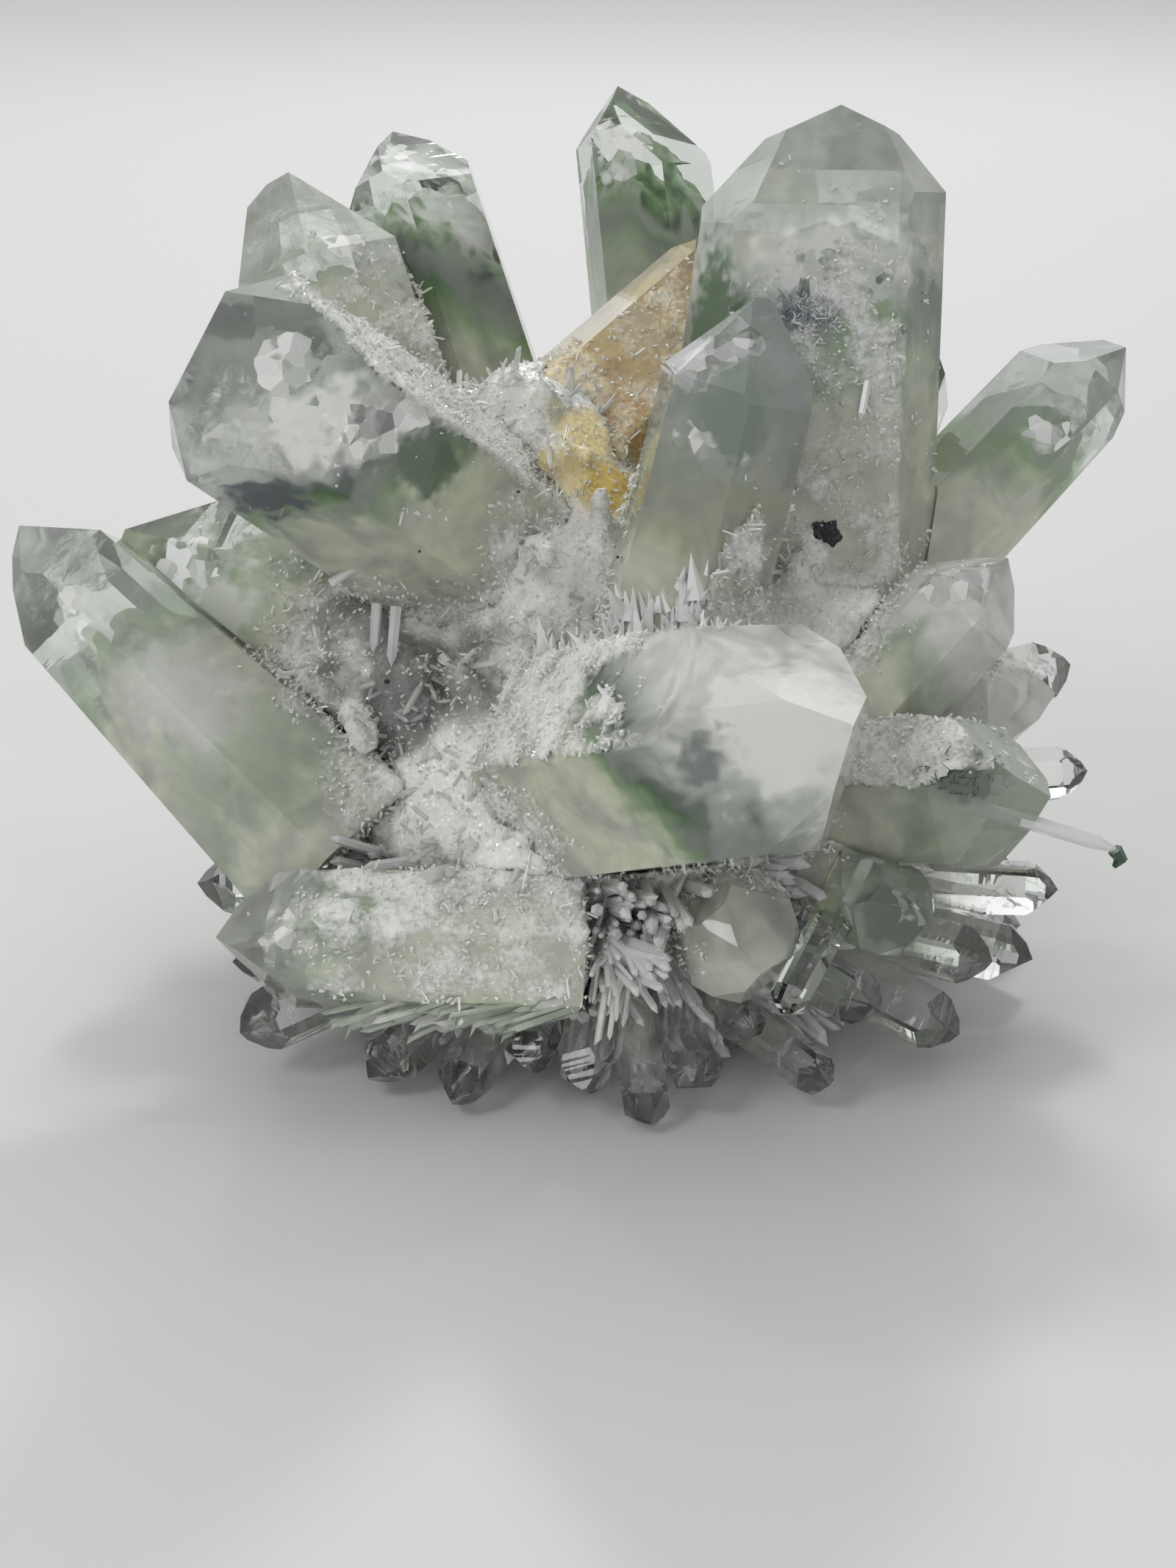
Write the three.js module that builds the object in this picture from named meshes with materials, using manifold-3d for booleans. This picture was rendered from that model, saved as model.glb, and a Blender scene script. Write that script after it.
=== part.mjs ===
// A hand-sized cluster of chlorite phantom quartz: large points that radiate from one crusted body.
// Millimetres, +Z up, +X to the right and -Y towards the viewer. The origin is at the centre of the flat
// face where the cluster was broken off its rock, and on which it rests.
import * as THREE from "three";
import { mergeVertices } from "three/addons/utils/BufferGeometryUtils.js";
import Module from "manifold-3d";

const wasm = await Module();
wasm.setup();

// Driving dimensions
const FIT_GAP = 0.3;
const FLOOR_DEPTH = 60;
const LUMP_HEIGHT = 1.4;
const LUMP_WAVE = 0.33;
const SPIKE_LENGTH = 4.5;
const SPIKE_WIDTH = 2.6;
const SPIKE_LEAN = 0.35;
const SPIKE_ROOM = 2.5;
const SPIKE_TURN = 40;
const SPIKE_TAPER = 2;
const FOOT_TURN = 17;
const FOOT_TAPER = 1.5;
const FLOOR_SIDE = 200;

// Quartz grows with six prism faces, closed by six rhombohedral faces at this angle to its long axis.
const SIDES = 6;
const RHOMB_NORMAL = THREE.MathUtils.degToRad(51.8);
// Every second end face is larger, by this share of the width, unless a point has steps of its own.
const LARGER_END = 0.1;

// How near two things count as the same, in millimetres, or as parallel, for unit normals
const SAME_CORNER = 1e-3;
const ON_FACE = 2e-3;
const INSIDE = 1e-5;
const PARALLEL = 1e-6;

// Colours of the finishes
const PHANTOM = { color: 0xa9b8a4, roughness: 0.12, metalness: 0, transparent: true, opacity: 0.8 };
const CLEAR = { color: 0xdfe6e2, roughness: 0.06, metalness: 0, transparent: true, opacity: 0.5 };
const AMBER = { color: 0xd9b25c, roughness: 0.15, metalness: 0, transparent: true, opacity: 0.8 };
const DRUSE = { color: 0xd7dbd6, roughness: 0.45, metalness: 0 };

// The large points, the strongest first, because a later point is cut where it meets an earlier one.
// root and tip are on the long axis, width is across the flats at the shoulder. twist turns the six
// sides about the axis, flat narrows one pair of sides, taper is the lean of the sides in degrees and
// apex moves the point off the axis. steps moves each end face out, so that the others grow into a
// ridge. A bevel is one more face: its turn, the angle of its normal to the axis, and the distances
// behind the tip and off the axis of one place on it.
const POINTS = [
  { name: "tall_point", root: [21.5, 4, 28], tip: [23, 13, 92], width: 23, twist: 88, flat: 0.68,
    apex: [-2, 0], steps: [0, 2.4, 2.4, 0, 3, 3],
    bevels: [[0, 25, 0, -2], [180, 25, 0, 2], [0, 84, 11, 12]] },
  { name: "front_point", root: [-2, -14.5, 29.5], tip: [22, -47, 46.5], width: 21, twist: 20 },
  { name: "big_left_point", root: [-10.5, 7, 45.5], tip: [-37.5, -18.5, 73.5], width: 19.5, twist: 0,
    steps: [0, 4, 4, 0, 4, 4] },
  { name: "far_left_point", root: [-26, -14, 19.5], tip: [-62, 2, 50.5], width: 13.5, twist: 0,
    taper: 4, steps: [1, -1.5, -1.5, 1, 0, 0] },
  { name: "hidden_left_point", root: [-24, 5.5, 36], tip: [-50.5, 5, 48.5], width: 16, twist: 0,
    steps: [0, 2, 2, 0, 0.5, 0.5] },
  { name: "upper_left_point", root: [-24, 20.5, 51.5], tip: [-34.5, 33, 82.5], width: 18.5, twist: 23,
    steps: [2, 2, 3.4, 0, 0, 0], bevels: [[143, 4, 0, 0], [143, 73, 3, 6]] },
  { name: "back_left_point", root: [-11, 29, 48], tip: [-24, 49, 85], width: 15, twist: 25 },
  { name: "clear_point", root: [10.5, 37, 40], tip: [4.5, 53, 90], width: 14, twist: 15, apex: [2, 0],
    finish: CLEAR },
  { name: "amber_point", root: [-3, 16, 54], tip: [24, 36, 74], width: 18, twist: 10, finish: AMBER },
  { name: "forward_point", root: [7.5, -9, 40], tip: [15.5, -6, 74.5], width: 14, twist: 5,
    steps: [1, 1, 0.5, 2, 2, 1] },
  { name: "low_left_point", root: [-2, -25.5, 15], tip: [-37.5, -29, 17.5], width: 12.5, twist: 5 },
  { name: "right_point", root: [32, 9.5, 42], tip: [56.5, 19.5, 66], width: 12, twist: 30,
    steps: [1.5, 0, 1.5, 1.5, 0, 1.5] },
  { name: "right_mid_point", root: [27, -9, 33], tip: [42, -5, 49], width: 11, twist: 20 },
  { name: "right_block", root: [26, -14, 27], tip: [43.5, -28, 32], width: 14, twist: 10 },
  { name: "sugar_point", root: [32, 3, 31], tip: [49, 0, 32.5], width: 11, twist: 0 },
  { name: "pale_block", root: [12, -20, 17], tip: [15.5, -36, 17], width: 11, twist: 10 },
  { name: "pale_bar", root: [26, -22, 22], tip: [17.5, -36.5, 13], width: 3.6, twist: 30, finish: CLEAR },
  { name: "dark_point", root: [22, -16, 19], tip: [31.5, -32, 20], width: 8.5, twist: 12 },
  { name: "rear_tall_point", root: [24, 26, 34], tip: [39, 49, 63], width: 13, twist: 14 },
  { name: "rear_mid_point", root: [-4, 38, 30], tip: [-8, 62, 45], width: 12, twist: 22 },
  { name: "rear_left_point", root: [-23, 24, 28], tip: [-44, 41, 44], width: 12, twist: 6 },
  { name: "rear_low_point", root: [18, 34, 22], tip: [27, 56, 28], width: 10, twist: 18, finish: CLEAR },
  { name: "left_low_point", root: [-28, 6, 20], tip: [-52, 14, 27], width: 10, twist: 9, finish: CLEAR },
];

// The small points around the foot, as places round the middle of the cluster: the direction in
// degrees from +X, the height and reach of the tip, the length, the width and the rise of the axis.
const FOOT_CENTRE = [0, 3];
const FOOT_POINTS = [
  [-124, 3, 41, 14, 5.5, -12], [-111, 2.5, 40.5, 15, 5, -14], [-101, 6, 38, 12, 4.5, -8],
  [-92, 4, 38.5, 12, 5, -14], [-83, 1.5, 41, 14, 4.5, -22], [-75, 4.5, 40, 14, 5, -10],
  [-66, 8, 38, 12, 4.5, -4], [-58, 3.5, 43, 16, 4, -4], [-48, 9, 42, 14, 5, -6],
  [-38, 5, 46.5, 17, 5.5, -10], [-31, 11, 47, 16, 5.5, 0], [-21, 8, 49, 18, 6, -4],
  [-15, 14, 50.5, 18, 5, 4], [1, 22, 54, 20, 5, 4], [14, 30, 55.5, 22, 6.5, 10],
  [-140, 6, 47, 17, 6, -6], [-168, 13, 44, 14, 6, 4], [177, 17, 47, 17, 6.5, 8],
  [-152, 9, 43, 13, 5, 0], [148, 20, 45, 16, 7, 10],
  [136, 7, 44, 15, 5.5, -8], [121, 14, 46, 17, 7, 4], [108, 5, 42, 14, 5, -10],
  [96, 17, 47, 18, 7.5, 8], [71, 15, 47, 18, 6.5, 6],
  [58, 6, 44, 15, 5.5, -8], [45, 18, 48, 18, 7, 10], [33, 9, 47, 17, 5.5, -2],
  [22, 17, 50, 17, 5, 4], [9, 8, 48, 17, 5.5, -6], [-6, 6, 47, 16, 5, -8],
];

// A named point as half-spaces: each is an outward unit normal and its distance from the origin.
function quartz(shape, grow = 0) {
  const { root, tip, width, twist = 0, flat = 1, taper = 1 } = shape;
  const { apex = [0, 0], steps = [], bevels = [] } = shape;
  const foot = new THREE.Vector3(...root);
  const head = new THREE.Vector3(...tip);
  const axis = head.clone().sub(foot).normalize();
  const aside = Math.abs(axis.z) > 0.9 ? new THREE.Vector3(0, 1, 0) : new THREE.Vector3(0, 0, 1);
  const u = new THREE.Vector3().crossVectors(axis, aside).normalize();
  const v = new THREE.Vector3().crossVectors(axis, u);
  const point = head.clone().addScaledVector(u, apex[0]).addScaledVector(v, apex[1]);
  const lean = THREE.MathUtils.degToRad(taper);
  const planes = [];
  const plane = (normal, through, shift = 0) =>
    planes.push({ normal, at: normal.dot(through) + shift + grow });
  plane(axis.clone().negate(), foot);
  const outward = (degrees) => {
    const turn = THREE.MathUtils.degToRad(degrees);
    return u.clone().multiplyScalar(Math.cos(turn)).addScaledVector(v, Math.sin(turn));
  };
  const leaning = (out, polar) =>
    out.clone().multiplyScalar(Math.sin(polar)).addScaledVector(axis, Math.cos(polar));
  for (let k = 0; k < SIDES; k++) {
    const out = outward(twist + (k * 360) / SIDES);
    const half = (width / 2) * (k % 3 === 0 ? flat : 1);
    const side = leaning(out, Math.PI / 2 - lean);
    plane(side, head.clone().addScaledVector(axis, -width / 2).addScaledVector(out, half));
    plane(leaning(out, RHOMB_NORMAL), point, steps[k] ?? (k % 2) * LARGER_END * width);
  }
  for (const [degrees, polar, back, reach] of bevels) {
    const out = outward(degrees);
    const place = head.clone().addScaledVector(axis, -back).addScaledVector(out, reach);
    plane(leaning(out, THREE.MathUtils.degToRad(polar)), place);
  }
  return planes;
}

// Where three planes meet, or null if two of them are parallel.
function meeting(a, b, c) {
  const bc = new THREE.Vector3().crossVectors(b.normal, c.normal);
  const size = a.normal.dot(bc);
  if (Math.abs(size) < PARALLEL) return null;
  const ca = new THREE.Vector3().crossVectors(c.normal, a.normal);
  const ab = new THREE.Vector3().crossVectors(a.normal, b.normal);
  return bc.multiplyScalar(a.at).addScaledVector(ca, b.at).addScaledVector(ab, c.at).divideScalar(size);
}

// The flat-faced solid inside all the planes, as a geometry with one fan of triangles for each face.
function facets(planes) {
  const corners = [];
  for (let i = 0; i < planes.length; i++)
    for (let j = i + 1; j < planes.length; j++)
      for (let k = j + 1; k < planes.length; k++) {
        const p = meeting(planes[i], planes[j], planes[k]);
        if (!p || planes.some((s) => s.normal.dot(p) > s.at + INSIDE)) continue;
        if (!corners.some((q) => q.distanceTo(p) < SAME_CORNER)) corners.push(p);
      }
  const positions = [];
  for (const { normal, at } of planes) {
    const rim = corners.filter((p) => Math.abs(normal.dot(p) - at) < ON_FACE);
    if (rim.length < 3) continue;
    const middle = rim.reduce((sum, p) => sum.add(p), new THREE.Vector3()).divideScalar(rim.length);
    const x = rim[0].clone().sub(middle).normalize();
    const y = new THREE.Vector3().crossVectors(normal, x);
    const angle = (p) => Math.atan2(p.clone().sub(middle).dot(y), p.clone().sub(middle).dot(x));
    rim.sort((p, q) => angle(p) - angle(q));
    for (let i = 1; i + 1 < rim.length; i++)
      positions.push(...rim[0].toArray(), ...rim[i].toArray(), ...rim[i + 1].toArray());
  }
  const geometry = new THREE.BufferGeometry();
  return geometry.setAttribute("position", new THREE.Float32BufferAttribute(positions, 3));
}

function toSolid(geometry) {
  const bare = geometry.clone();
  bare.deleteAttribute("normal");
  bare.deleteAttribute("uv");
  const merged = mergeVertices(bare, SAME_CORNER);
  return new wasm.Manifold(
    new wasm.Mesh({
      numProp: 3,
      vertProperties: merged.attributes.position.array,
      triVerts: new Uint32Array(merged.index.array),
    }),
  );
}

function toGeometry(solid) {
  const { numProp, vertProperties, triVerts } = solid.getMesh();
  const flatPositions = [];
  for (const i of triVerts)
    flatPositions.push(...vertProperties.subarray(i * numProp, i * numProp + 3));
  const geometry = new THREE.BufferGeometry();
  geometry.setAttribute("position", new THREE.Float32BufferAttribute(flatPositions, 3));
  geometry.computeVertexNormals();
  return geometry;
}

// A cut can leave loose chips, and only the main body is kept.
function mainBody(solid) {
  return solid.decompose().reduce((a, b) => (b.volume() > a.volume() ? b : a));
}

const group = new THREE.Group();
function addMesh(name, solid, finish) {
  const mesh = new THREE.Mesh(toGeometry(solid), new THREE.MeshStandardMaterial(finish));
  mesh.name = name;
  group.add(mesh);
}

// Each point in turn, cut where it meets the points before it.
const taken = [];
function addPoint(name, shape, finish) {
  let solid = toSolid(facets(quartz(shape)));
  for (const { room } of taken) solid = solid.subtract(room);
  addMesh(name, mainBody(solid), finish);
  const planes = quartz(shape, FIT_GAP);
  taken.push({ planes, room: toSolid(facets(planes)) });
}

for (const point of POINTS) addPoint(point.name, point, point.finish ?? PHANTOM);

function footPoint([degrees, height, reach, length, width, rise], index) {
  const turn = THREE.MathUtils.degToRad(degrees);
  const slope = THREE.MathUtils.degToRad(rise);
  const out = [Math.cos(turn), Math.sin(turn)];
  const tip = [FOOT_CENTRE[0] + out[0] * reach, FOOT_CENTRE[1] + out[1] * reach, height];
  const level = length * Math.cos(slope);
  const root = [tip[0] - out[0] * level, tip[1] - out[1] * level, height - length * Math.sin(slope)];
  return { root, tip, width, twist: index * FOOT_TURN, taper: FOOT_TAPER };
}
FOOT_POINTS.forEach((row, i) => addPoint(`foot_point_${i + 1}`, footPoint(row, i), CLEAR));

// The crusted body: lumpy lobes of matrix, each with small points of druse that stand on it.
const LOBES = [
  { at: [0, 3, 19], radii: [31, 29, 24], detail: 5, spikes: 160 },
  { at: [-5, 9, 42], radii: [17, 16, 16], detail: 3, spikes: 60 },
  { at: [-6, 13, 53], radii: [11, 10, 10], detail: 2, spikes: 30 },
  { at: [20, 3, 33], radii: [17, 14, 14], detail: 3, spikes: 50 },
  { at: [3, 28, 32], radii: [25, 18, 18], detail: 4, spikes: 80 },
  { at: [-23, 1, 31], radii: [13, 13, 13], detail: 3, spikes: 40 },
];

function lobe({ at, radii, detail }) {
  const geometry = new THREE.IcosahedronGeometry(1, detail);
  const place = geometry.attributes.position;
  const p = new THREE.Vector3();
  for (let i = 0; i < place.count; i++) {
    p.fromBufferAttribute(place, i);
    const way = p.clone();
    p.set(p.x * radii[0] + at[0], p.y * radii[1] + at[1], p.z * radii[2] + at[2]);
    const across = Math.sin(LUMP_WAVE * p.x + 1) * Math.sin(LUMP_WAVE * p.y);
    const lump = across + Math.sin(LUMP_WAVE * p.z);
    p.addScaledVector(way, LUMP_HEIGHT * lump);
    place.setXYZ(i, p.x, p.y, p.z);
  }
  return toSolid(geometry);
}

// A spike is only grown where its tip stands free of every point and every lobe, and off the floor.
function standsFree(tip) {
  const inPoint = taken.some(({ planes }) => planes.every((s) => s.normal.dot(tip) < s.at + SPIKE_ROOM));
  const inLobe = LOBES.some(({ at, radii }) => {
    const [x, y, z] = [0, 1, 2].map((k) => (tip.getComponent(k) - at[k]) / (radii[k] + SPIKE_ROOM));
    return x * x + y * y + z * z < 1;
  });
  return tip.z > SPIKE_ROOM && !inPoint && !inLobe;
}

// The spikes are spread evenly over their lobe by a golden spiral, and lean by a few sines.
function druse({ at, radii, spikes }) {
  const solids = [];
  const golden = Math.PI * (3 - Math.sqrt(5));
  for (let i = 0; i < spikes; i++) {
    const up = 1 - (2 * i + 1) / spikes;
    const round = Math.sqrt(1 - up * up);
    const way = new THREE.Vector3(Math.cos(golden * i) * round, Math.sin(golden * i) * round, up);
    const skin = new THREE.Vector3(...at).add(way.clone().multiply(new THREE.Vector3(...radii)));
    const lean = new THREE.Vector3(Math.sin(3 * i), Math.cos(5 * i), Math.sin(7 * i));
    way.addScaledVector(lean, SPIKE_LEAN).normalize();
    const length = SPIKE_LENGTH * (1 + 0.4 * Math.sin(11 * i));
    const width = SPIKE_WIDTH * (1 + 0.3 * Math.sin(13 * i));
    const tip = skin.clone().addScaledVector(way, length);
    const root = skin.clone().addScaledVector(way, -SPIKE_ROOM);
    if (!standsFree(tip)) continue;
    const place = { root: root.toArray(), tip: tip.toArray() };
    const spike = quartz({ ...place, width, twist: SPIKE_TURN * i, taper: SPIKE_TAPER });
    solids.push(toSolid(facets(spike)));
  }
  return solids;
}

const slab = new THREE.BoxGeometry(FLOOR_SIDE, FLOOR_SIDE, FLOOR_DEPTH);
const floor = toSolid(slab.translate(0, 0, -FLOOR_DEPTH / 2));
let matrix = wasm.Manifold.union(LOBES.flatMap((row) => [lobe(row), ...druse(row)]));
matrix = matrix.subtract(wasm.Manifold.union(taken.map(({ room }) => room))).subtract(floor);
addMesh("matrix", mainBody(matrix), DRUSE);

export default group;
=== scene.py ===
# A hand-sized cluster of green phantom quartz on a pale table, lit softly from behind and above.
# Metres, +Z up, and the viewer on the -Y side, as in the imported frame.
import math

import bmesh
import bpy
import numpy as np
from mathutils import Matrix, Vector, noise
from mathutils.bvhtree import BVHTree


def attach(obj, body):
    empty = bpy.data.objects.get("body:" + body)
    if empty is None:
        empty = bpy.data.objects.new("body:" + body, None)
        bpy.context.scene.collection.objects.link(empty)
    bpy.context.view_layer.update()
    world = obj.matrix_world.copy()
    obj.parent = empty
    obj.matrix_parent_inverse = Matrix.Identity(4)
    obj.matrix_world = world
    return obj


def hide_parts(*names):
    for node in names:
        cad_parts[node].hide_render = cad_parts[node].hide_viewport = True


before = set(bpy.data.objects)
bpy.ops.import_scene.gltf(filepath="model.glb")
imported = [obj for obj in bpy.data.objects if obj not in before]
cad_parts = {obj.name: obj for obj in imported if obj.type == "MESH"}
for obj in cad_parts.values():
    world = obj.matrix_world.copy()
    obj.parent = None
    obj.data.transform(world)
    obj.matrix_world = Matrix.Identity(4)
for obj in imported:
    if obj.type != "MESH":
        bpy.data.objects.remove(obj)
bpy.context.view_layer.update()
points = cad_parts
MM = 0.001

# The camera of the photograph: a phone held close, a hand's height above the table.
# It looks 22 degrees down at the middle of the cluster from about a quarter of a metre.
CAMERA_LENS = 55
CAMERA_SENSOR = 36
CAMERA_PITCH = math.radians(22)
CAMERA_DISTANCE = 260 * MM
CAMERA_AIM = Vector((-1, 0, 22)) * MM

lens = bpy.data.cameras.new("camera")
lens.lens = CAMERA_LENS
lens.sensor_width = CAMERA_SENSOR
lens.clip_start = 0.01
camera = bpy.data.objects.new("camera", lens)
back_off = Vector((0, -math.cos(CAMERA_PITCH), math.sin(CAMERA_PITCH)))
camera.location = CAMERA_AIM + back_off * CAMERA_DISTANCE
camera.rotation_euler = (math.pi / 2 - CAMERA_PITCH, 0, 0)
bpy.context.scene.collection.objects.link(camera)
bpy.context.scene.camera = camera


# The table is a wide matt white sheet that runs on out of sight. Its colour is painted a little lighter
# towards the window, as painted light. It is only there to stand the cluster on, and is no part of it.
TABLE_HALF = 3.0
TABLE_NEAR = (0.66, 0.658, 0.654, 1)
TABLE_FAR_PAINTED_LIGHT = (0.73, 0.73, 0.73, 1)
TABLE_PAINTED_LIGHT_FADE = (-0.15, 0.50)
TABLE_ROUGHNESS = 0.5
TABLE_SHINE = 0.25


def new_material(name):
    """A node material that starts as one Principled shader, and its tree."""
    made = bpy.data.materials.new(name)
    made.use_nodes = True
    return made, made.node_tree, made.node_tree.nodes["Principled BSDF"]


def node(tree, kind, **values):
    """Adds a node. Values that name an input are set there, and the others on the node."""
    made = tree.nodes.new(kind)
    for key, value in values.items():
        label = key.replace("_", " ")
        if label in made.inputs:
            made.inputs[label].default_value = value
        else:
            setattr(made, key, value)
    return made


def ramp(tree, factor, *stops):
    """A colour ramp on factor. Each stop is its place and its colour."""
    made = tree.nodes.new("ShaderNodeValToRGB")
    tree.links.new(factor, made.inputs[0])
    bar = made.color_ramp
    while len(bar.elements) < len(stops):
        bar.elements.new(1)
    for element, (place, colour) in zip(bar.elements, stops):
        element.position = place
        element.color = colour if len(colour) == 4 else (*colour, 1)
    return made.outputs[0]


def grey(level):
    """A grey as a colour with full alpha."""
    return (level, level, level, 1)


def mesh_piece(name, verts, faces, material, smooth=False):
    """A mesh object in the scene, from lists of corners and faces."""
    mesh = bpy.data.meshes.new(name)
    mesh.from_pydata(verts, [], faces)
    mesh.materials.append(material)
    if smooth:
        mesh.shade_smooth()
    else:
        mesh.shade_flat()
    piece = bpy.data.objects.new(name, mesh)
    bpy.context.scene.collection.objects.link(piece)
    return piece


table_finish, tree, shader = new_material("table_white")
along = node(tree, "ShaderNodeSeparateXYZ")
tree.links.new(node(tree, "ShaderNodeTexCoord").outputs["Object"], along.inputs[0])
painted_light_fade = node(tree, "ShaderNodeMapRange", interpolation_type="SMOOTHSTEP")
tree.links.new(along.outputs["Y"], painted_light_fade.inputs["Value"])
painted_light_fade.inputs["From Min"].default_value, painted_light_fade.inputs["From Max"].default_value = TABLE_PAINTED_LIGHT_FADE
# Painted light: the table's colour grows lighter from the near colour to the far one, towards the window.
white = ramp(tree, painted_light_fade.outputs[0], (0.0, TABLE_NEAR), (1.0, TABLE_FAR_PAINTED_LIGHT))
tree.links.new(white, shader.inputs["Base Color"])
shader.inputs["Roughness"].default_value = TABLE_ROUGHNESS
shader.inputs["Specular IOR Level"].default_value = TABLE_SHINE
table_corners = [(x * TABLE_HALF, y * TABLE_HALF, 0) for x, y in ((-1, -1), (1, -1), (1, 1), (-1, 1))]
table = mesh_piece("table", table_corners, [(0, 1, 2, 3)], table_finish)


# The light is a pale room: a wide window behind the cluster, a bright ceiling, and a darker side
# where the viewer stands. The darker side is what draws the grey edges in the clear crystals.
# Each patch has the way it lies, how squarely a ray points there where the patch begins and where
# it is full, and the brightness that it changes from and to.
ROOM_LEVEL = 1.0
DARK_SIDE = 0.29
WINDOW_WAY = Vector((-0.10, 0.83, 0.55)).normalized()
ROOM_PATCHES = {
    "viewer's side": ((0, -0.66, 0.75), -0.1, 0.8, ROOM_LEVEL, DARK_SIDE),
    "low front": ((0, -1, 0.08), 0.82, 0.97, 0, 1.0),
    "ceiling": ((0, 0.3, 0.95), 0.80, 0.94, 0, 1.0),
    "window": (WINDOW_WAY, 0.80, 0.95, 0, 0.55),
}
BACKDROP = (0.74, 0.74, 0.74, 1)
BACKDROP_LEVEL = 1.0

room = bpy.data.worlds.new("room")
room.use_nodes = True
bpy.context.scene.world = room
tree = room.node_tree
background = tree.nodes["Background"]
way = node(tree, "ShaderNodeTexCoord").outputs["Generated"]


def towards(direction, low, high, level_low, level_high):
    """A level that changes smoothly with how far a ray points along a direction."""
    dot = node(tree, "ShaderNodeVectorMath", operation="DOT_PRODUCT")
    tree.links.new(way, dot.inputs[0])
    dot.inputs[1].default_value = direction
    spread = node(tree, "ShaderNodeMapRange", interpolation_type="SMOOTHSTEP")
    tree.links.new(dot.outputs["Value"], spread.inputs["Value"])
    for key, value in zip(("From Min", "From Max", "To Min", "To Max"), (low, high, level_low, level_high)):
        spread.inputs[key].default_value = value
    return spread.outputs["Result"]


def total(levels):
    """The sum of some levels."""
    out = levels[0]
    for level in levels[1:]:
        add = node(tree, "ShaderNodeMath", operation="ADD")
        tree.links.new(out, add.inputs[0])
        tree.links.new(level, add.inputs[1])
        out = add.outputs[0]
    return out


strength = total([towards(*patch) for patch in ROOM_PATCHES.values()])
ray = node(tree, "ShaderNodeLightPath")
seen = node(tree, "ShaderNodeMix", data_type="FLOAT")
tree.links.new(ray.outputs["Is Camera Ray"], seen.inputs[0])
tree.links.new(strength, seen.inputs[2])
seen.inputs[3].default_value = BACKDROP_LEVEL
tree.links.new(seen.outputs[0], background.inputs["Strength"])
background.inputs["Color"].default_value = BACKDROP

# A shaded lamp on the left and tiny bulbs above light the side that the viewer sees and make the
# druse sparkle. A lamp in the window behind draws the shadow on the table.
# Each row has its place and size in mm, and watts.
LAMPS = {
    "shade_left": ((-420, -330, 520), 260, 1.1),
    "bulb_left": ((-260, -260, 420), 12, 0.06),
    "bulb_middle": ((60, -330, 460), 12, 0.06),
    "bulb_right": ((196, -252, 459), 12, 0.06),
    "bulb_back": ((-80, 240, 520), 14, 0.10),
    "bulb_near": ((-90, -420, 260), 10, 0.04),
    "window_lamp": ((96, 990, 860), 144, 3.3),
}


def hang_lamp(name, kind, place, aim, power):
    """A lamp at a place in mm that shines at aim."""
    bulb = bpy.data.lights.new(name, kind)
    bulb.energy = power
    lamp = bpy.data.objects.new(name, bulb)
    lamp.location = Vector(place) * MM
    lamp.rotation_euler = (lamp.location - aim).to_track_quat("Z", "Y").to_euler()
    bpy.context.scene.collection.objects.link(lamp)
    return bulb


for name, (place, size, power) in LAMPS.items():
    hang_lamp(name, "AREA", place, CAMERA_AIM, power).size = size * MM

# Two narrow spotlights stand low in front and reach under the cluster to its foot.
FOOT_AIM = Vector((0, -25, -16)) * MM
FOOT_LIGHTS = {"foot_light_left": (-190, -400, 60), "foot_light_right": (230, -380, 70)}
FOOT_CONE = math.radians(15)
FOOT_LIGHT_SIZE = 14
FOOT_LIGHT_POWER = 0.65
for name, place in FOOT_LIGHTS.items():
    bulb = hang_lamp(name, "SPOT", place, FOOT_AIM, FOOT_LIGHT_POWER)
    bulb.spot_size = FOOT_CONE
    bulb.spot_blend = 1.0
    bulb.shadow_soft_size = FOOT_LIGHT_SIZE * MM

# Rays pass through the thin sugar and the cracks many times before they are given up.
THIN_LAYERS = 12
bpy.context.scene.view_settings.view_transform = "Standard"
bpy.context.scene.cycles.transparent_max_bounces = THIN_LAYERS


# The large points are single crystals of clear quartz, with six sides and a six-faced end.
# Their faces are glossy, with faint growth lines across the sides and some etched patches. A tint
# deepens with the thickness of the quartz. The amber point is stained yellow by iron.
GLASS_IOR = 1.544
CLEAR_TINT = (0.80, 0.88, 0.80)
CLEAR_DENSITY = 28
CLEAR_BODY = (0.97, 0.985, 0.97, 1)
AMBER_TINT = (0.96, 0.82, 0.42)
AMBER_DENSITY = 70
AMBER_BODY = (0.99, 0.93, 0.75, 1)
GROWTH_LINES = 0.10
GROWTH_RELIEF = 0.15
GROWTH_SPACING = (90, 90, 1500)
ETCHING = 0.06
CLUSTER_MIDDLE = Vector((0, 3, 20)) * MM


def long_axis(point):
    """The direction of a point's long edges, away from the middle of the cluster."""
    corners = np.array([v.co for v in point.data.vertices])
    ends = np.array([e.vertices[:] for e in point.data.edges])
    edges = corners[ends[:, 0]] - corners[ends[:, 1]]
    weight = np.linalg.norm(edges, axis=1) ** 4
    _, directions = np.linalg.eigh((edges * weight[:, None]).T @ edges)
    axis = Vector(directions[:, -1])
    outward = Vector(corners.mean(0)) - CLUSTER_MIDDLE
    return axis if axis.dot(outward) > 0 else -axis


def along_axis(tree, axis, scale):
    """Object coordinates turned so that Z runs along an axis, and scaled."""
    place = node(tree, "ShaderNodeTexCoord")
    turn = node(tree, "ShaderNodeMapping", vector_type="POINT")
    tree.links.new(place.outputs["Object"], turn.inputs["Vector"])
    turn.inputs["Rotation"].default_value = axis.rotation_difference(Vector((0, 0, 1))).to_euler()
    turn.inputs["Scale"].default_value = (1, 1, 1)
    stretch = node(tree, "ShaderNodeMapping", vector_type="POINT")
    tree.links.new(turn.outputs[0], stretch.inputs["Vector"])
    stretch.inputs["Scale"].default_value = scale
    return stretch.outputs[0]


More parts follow.
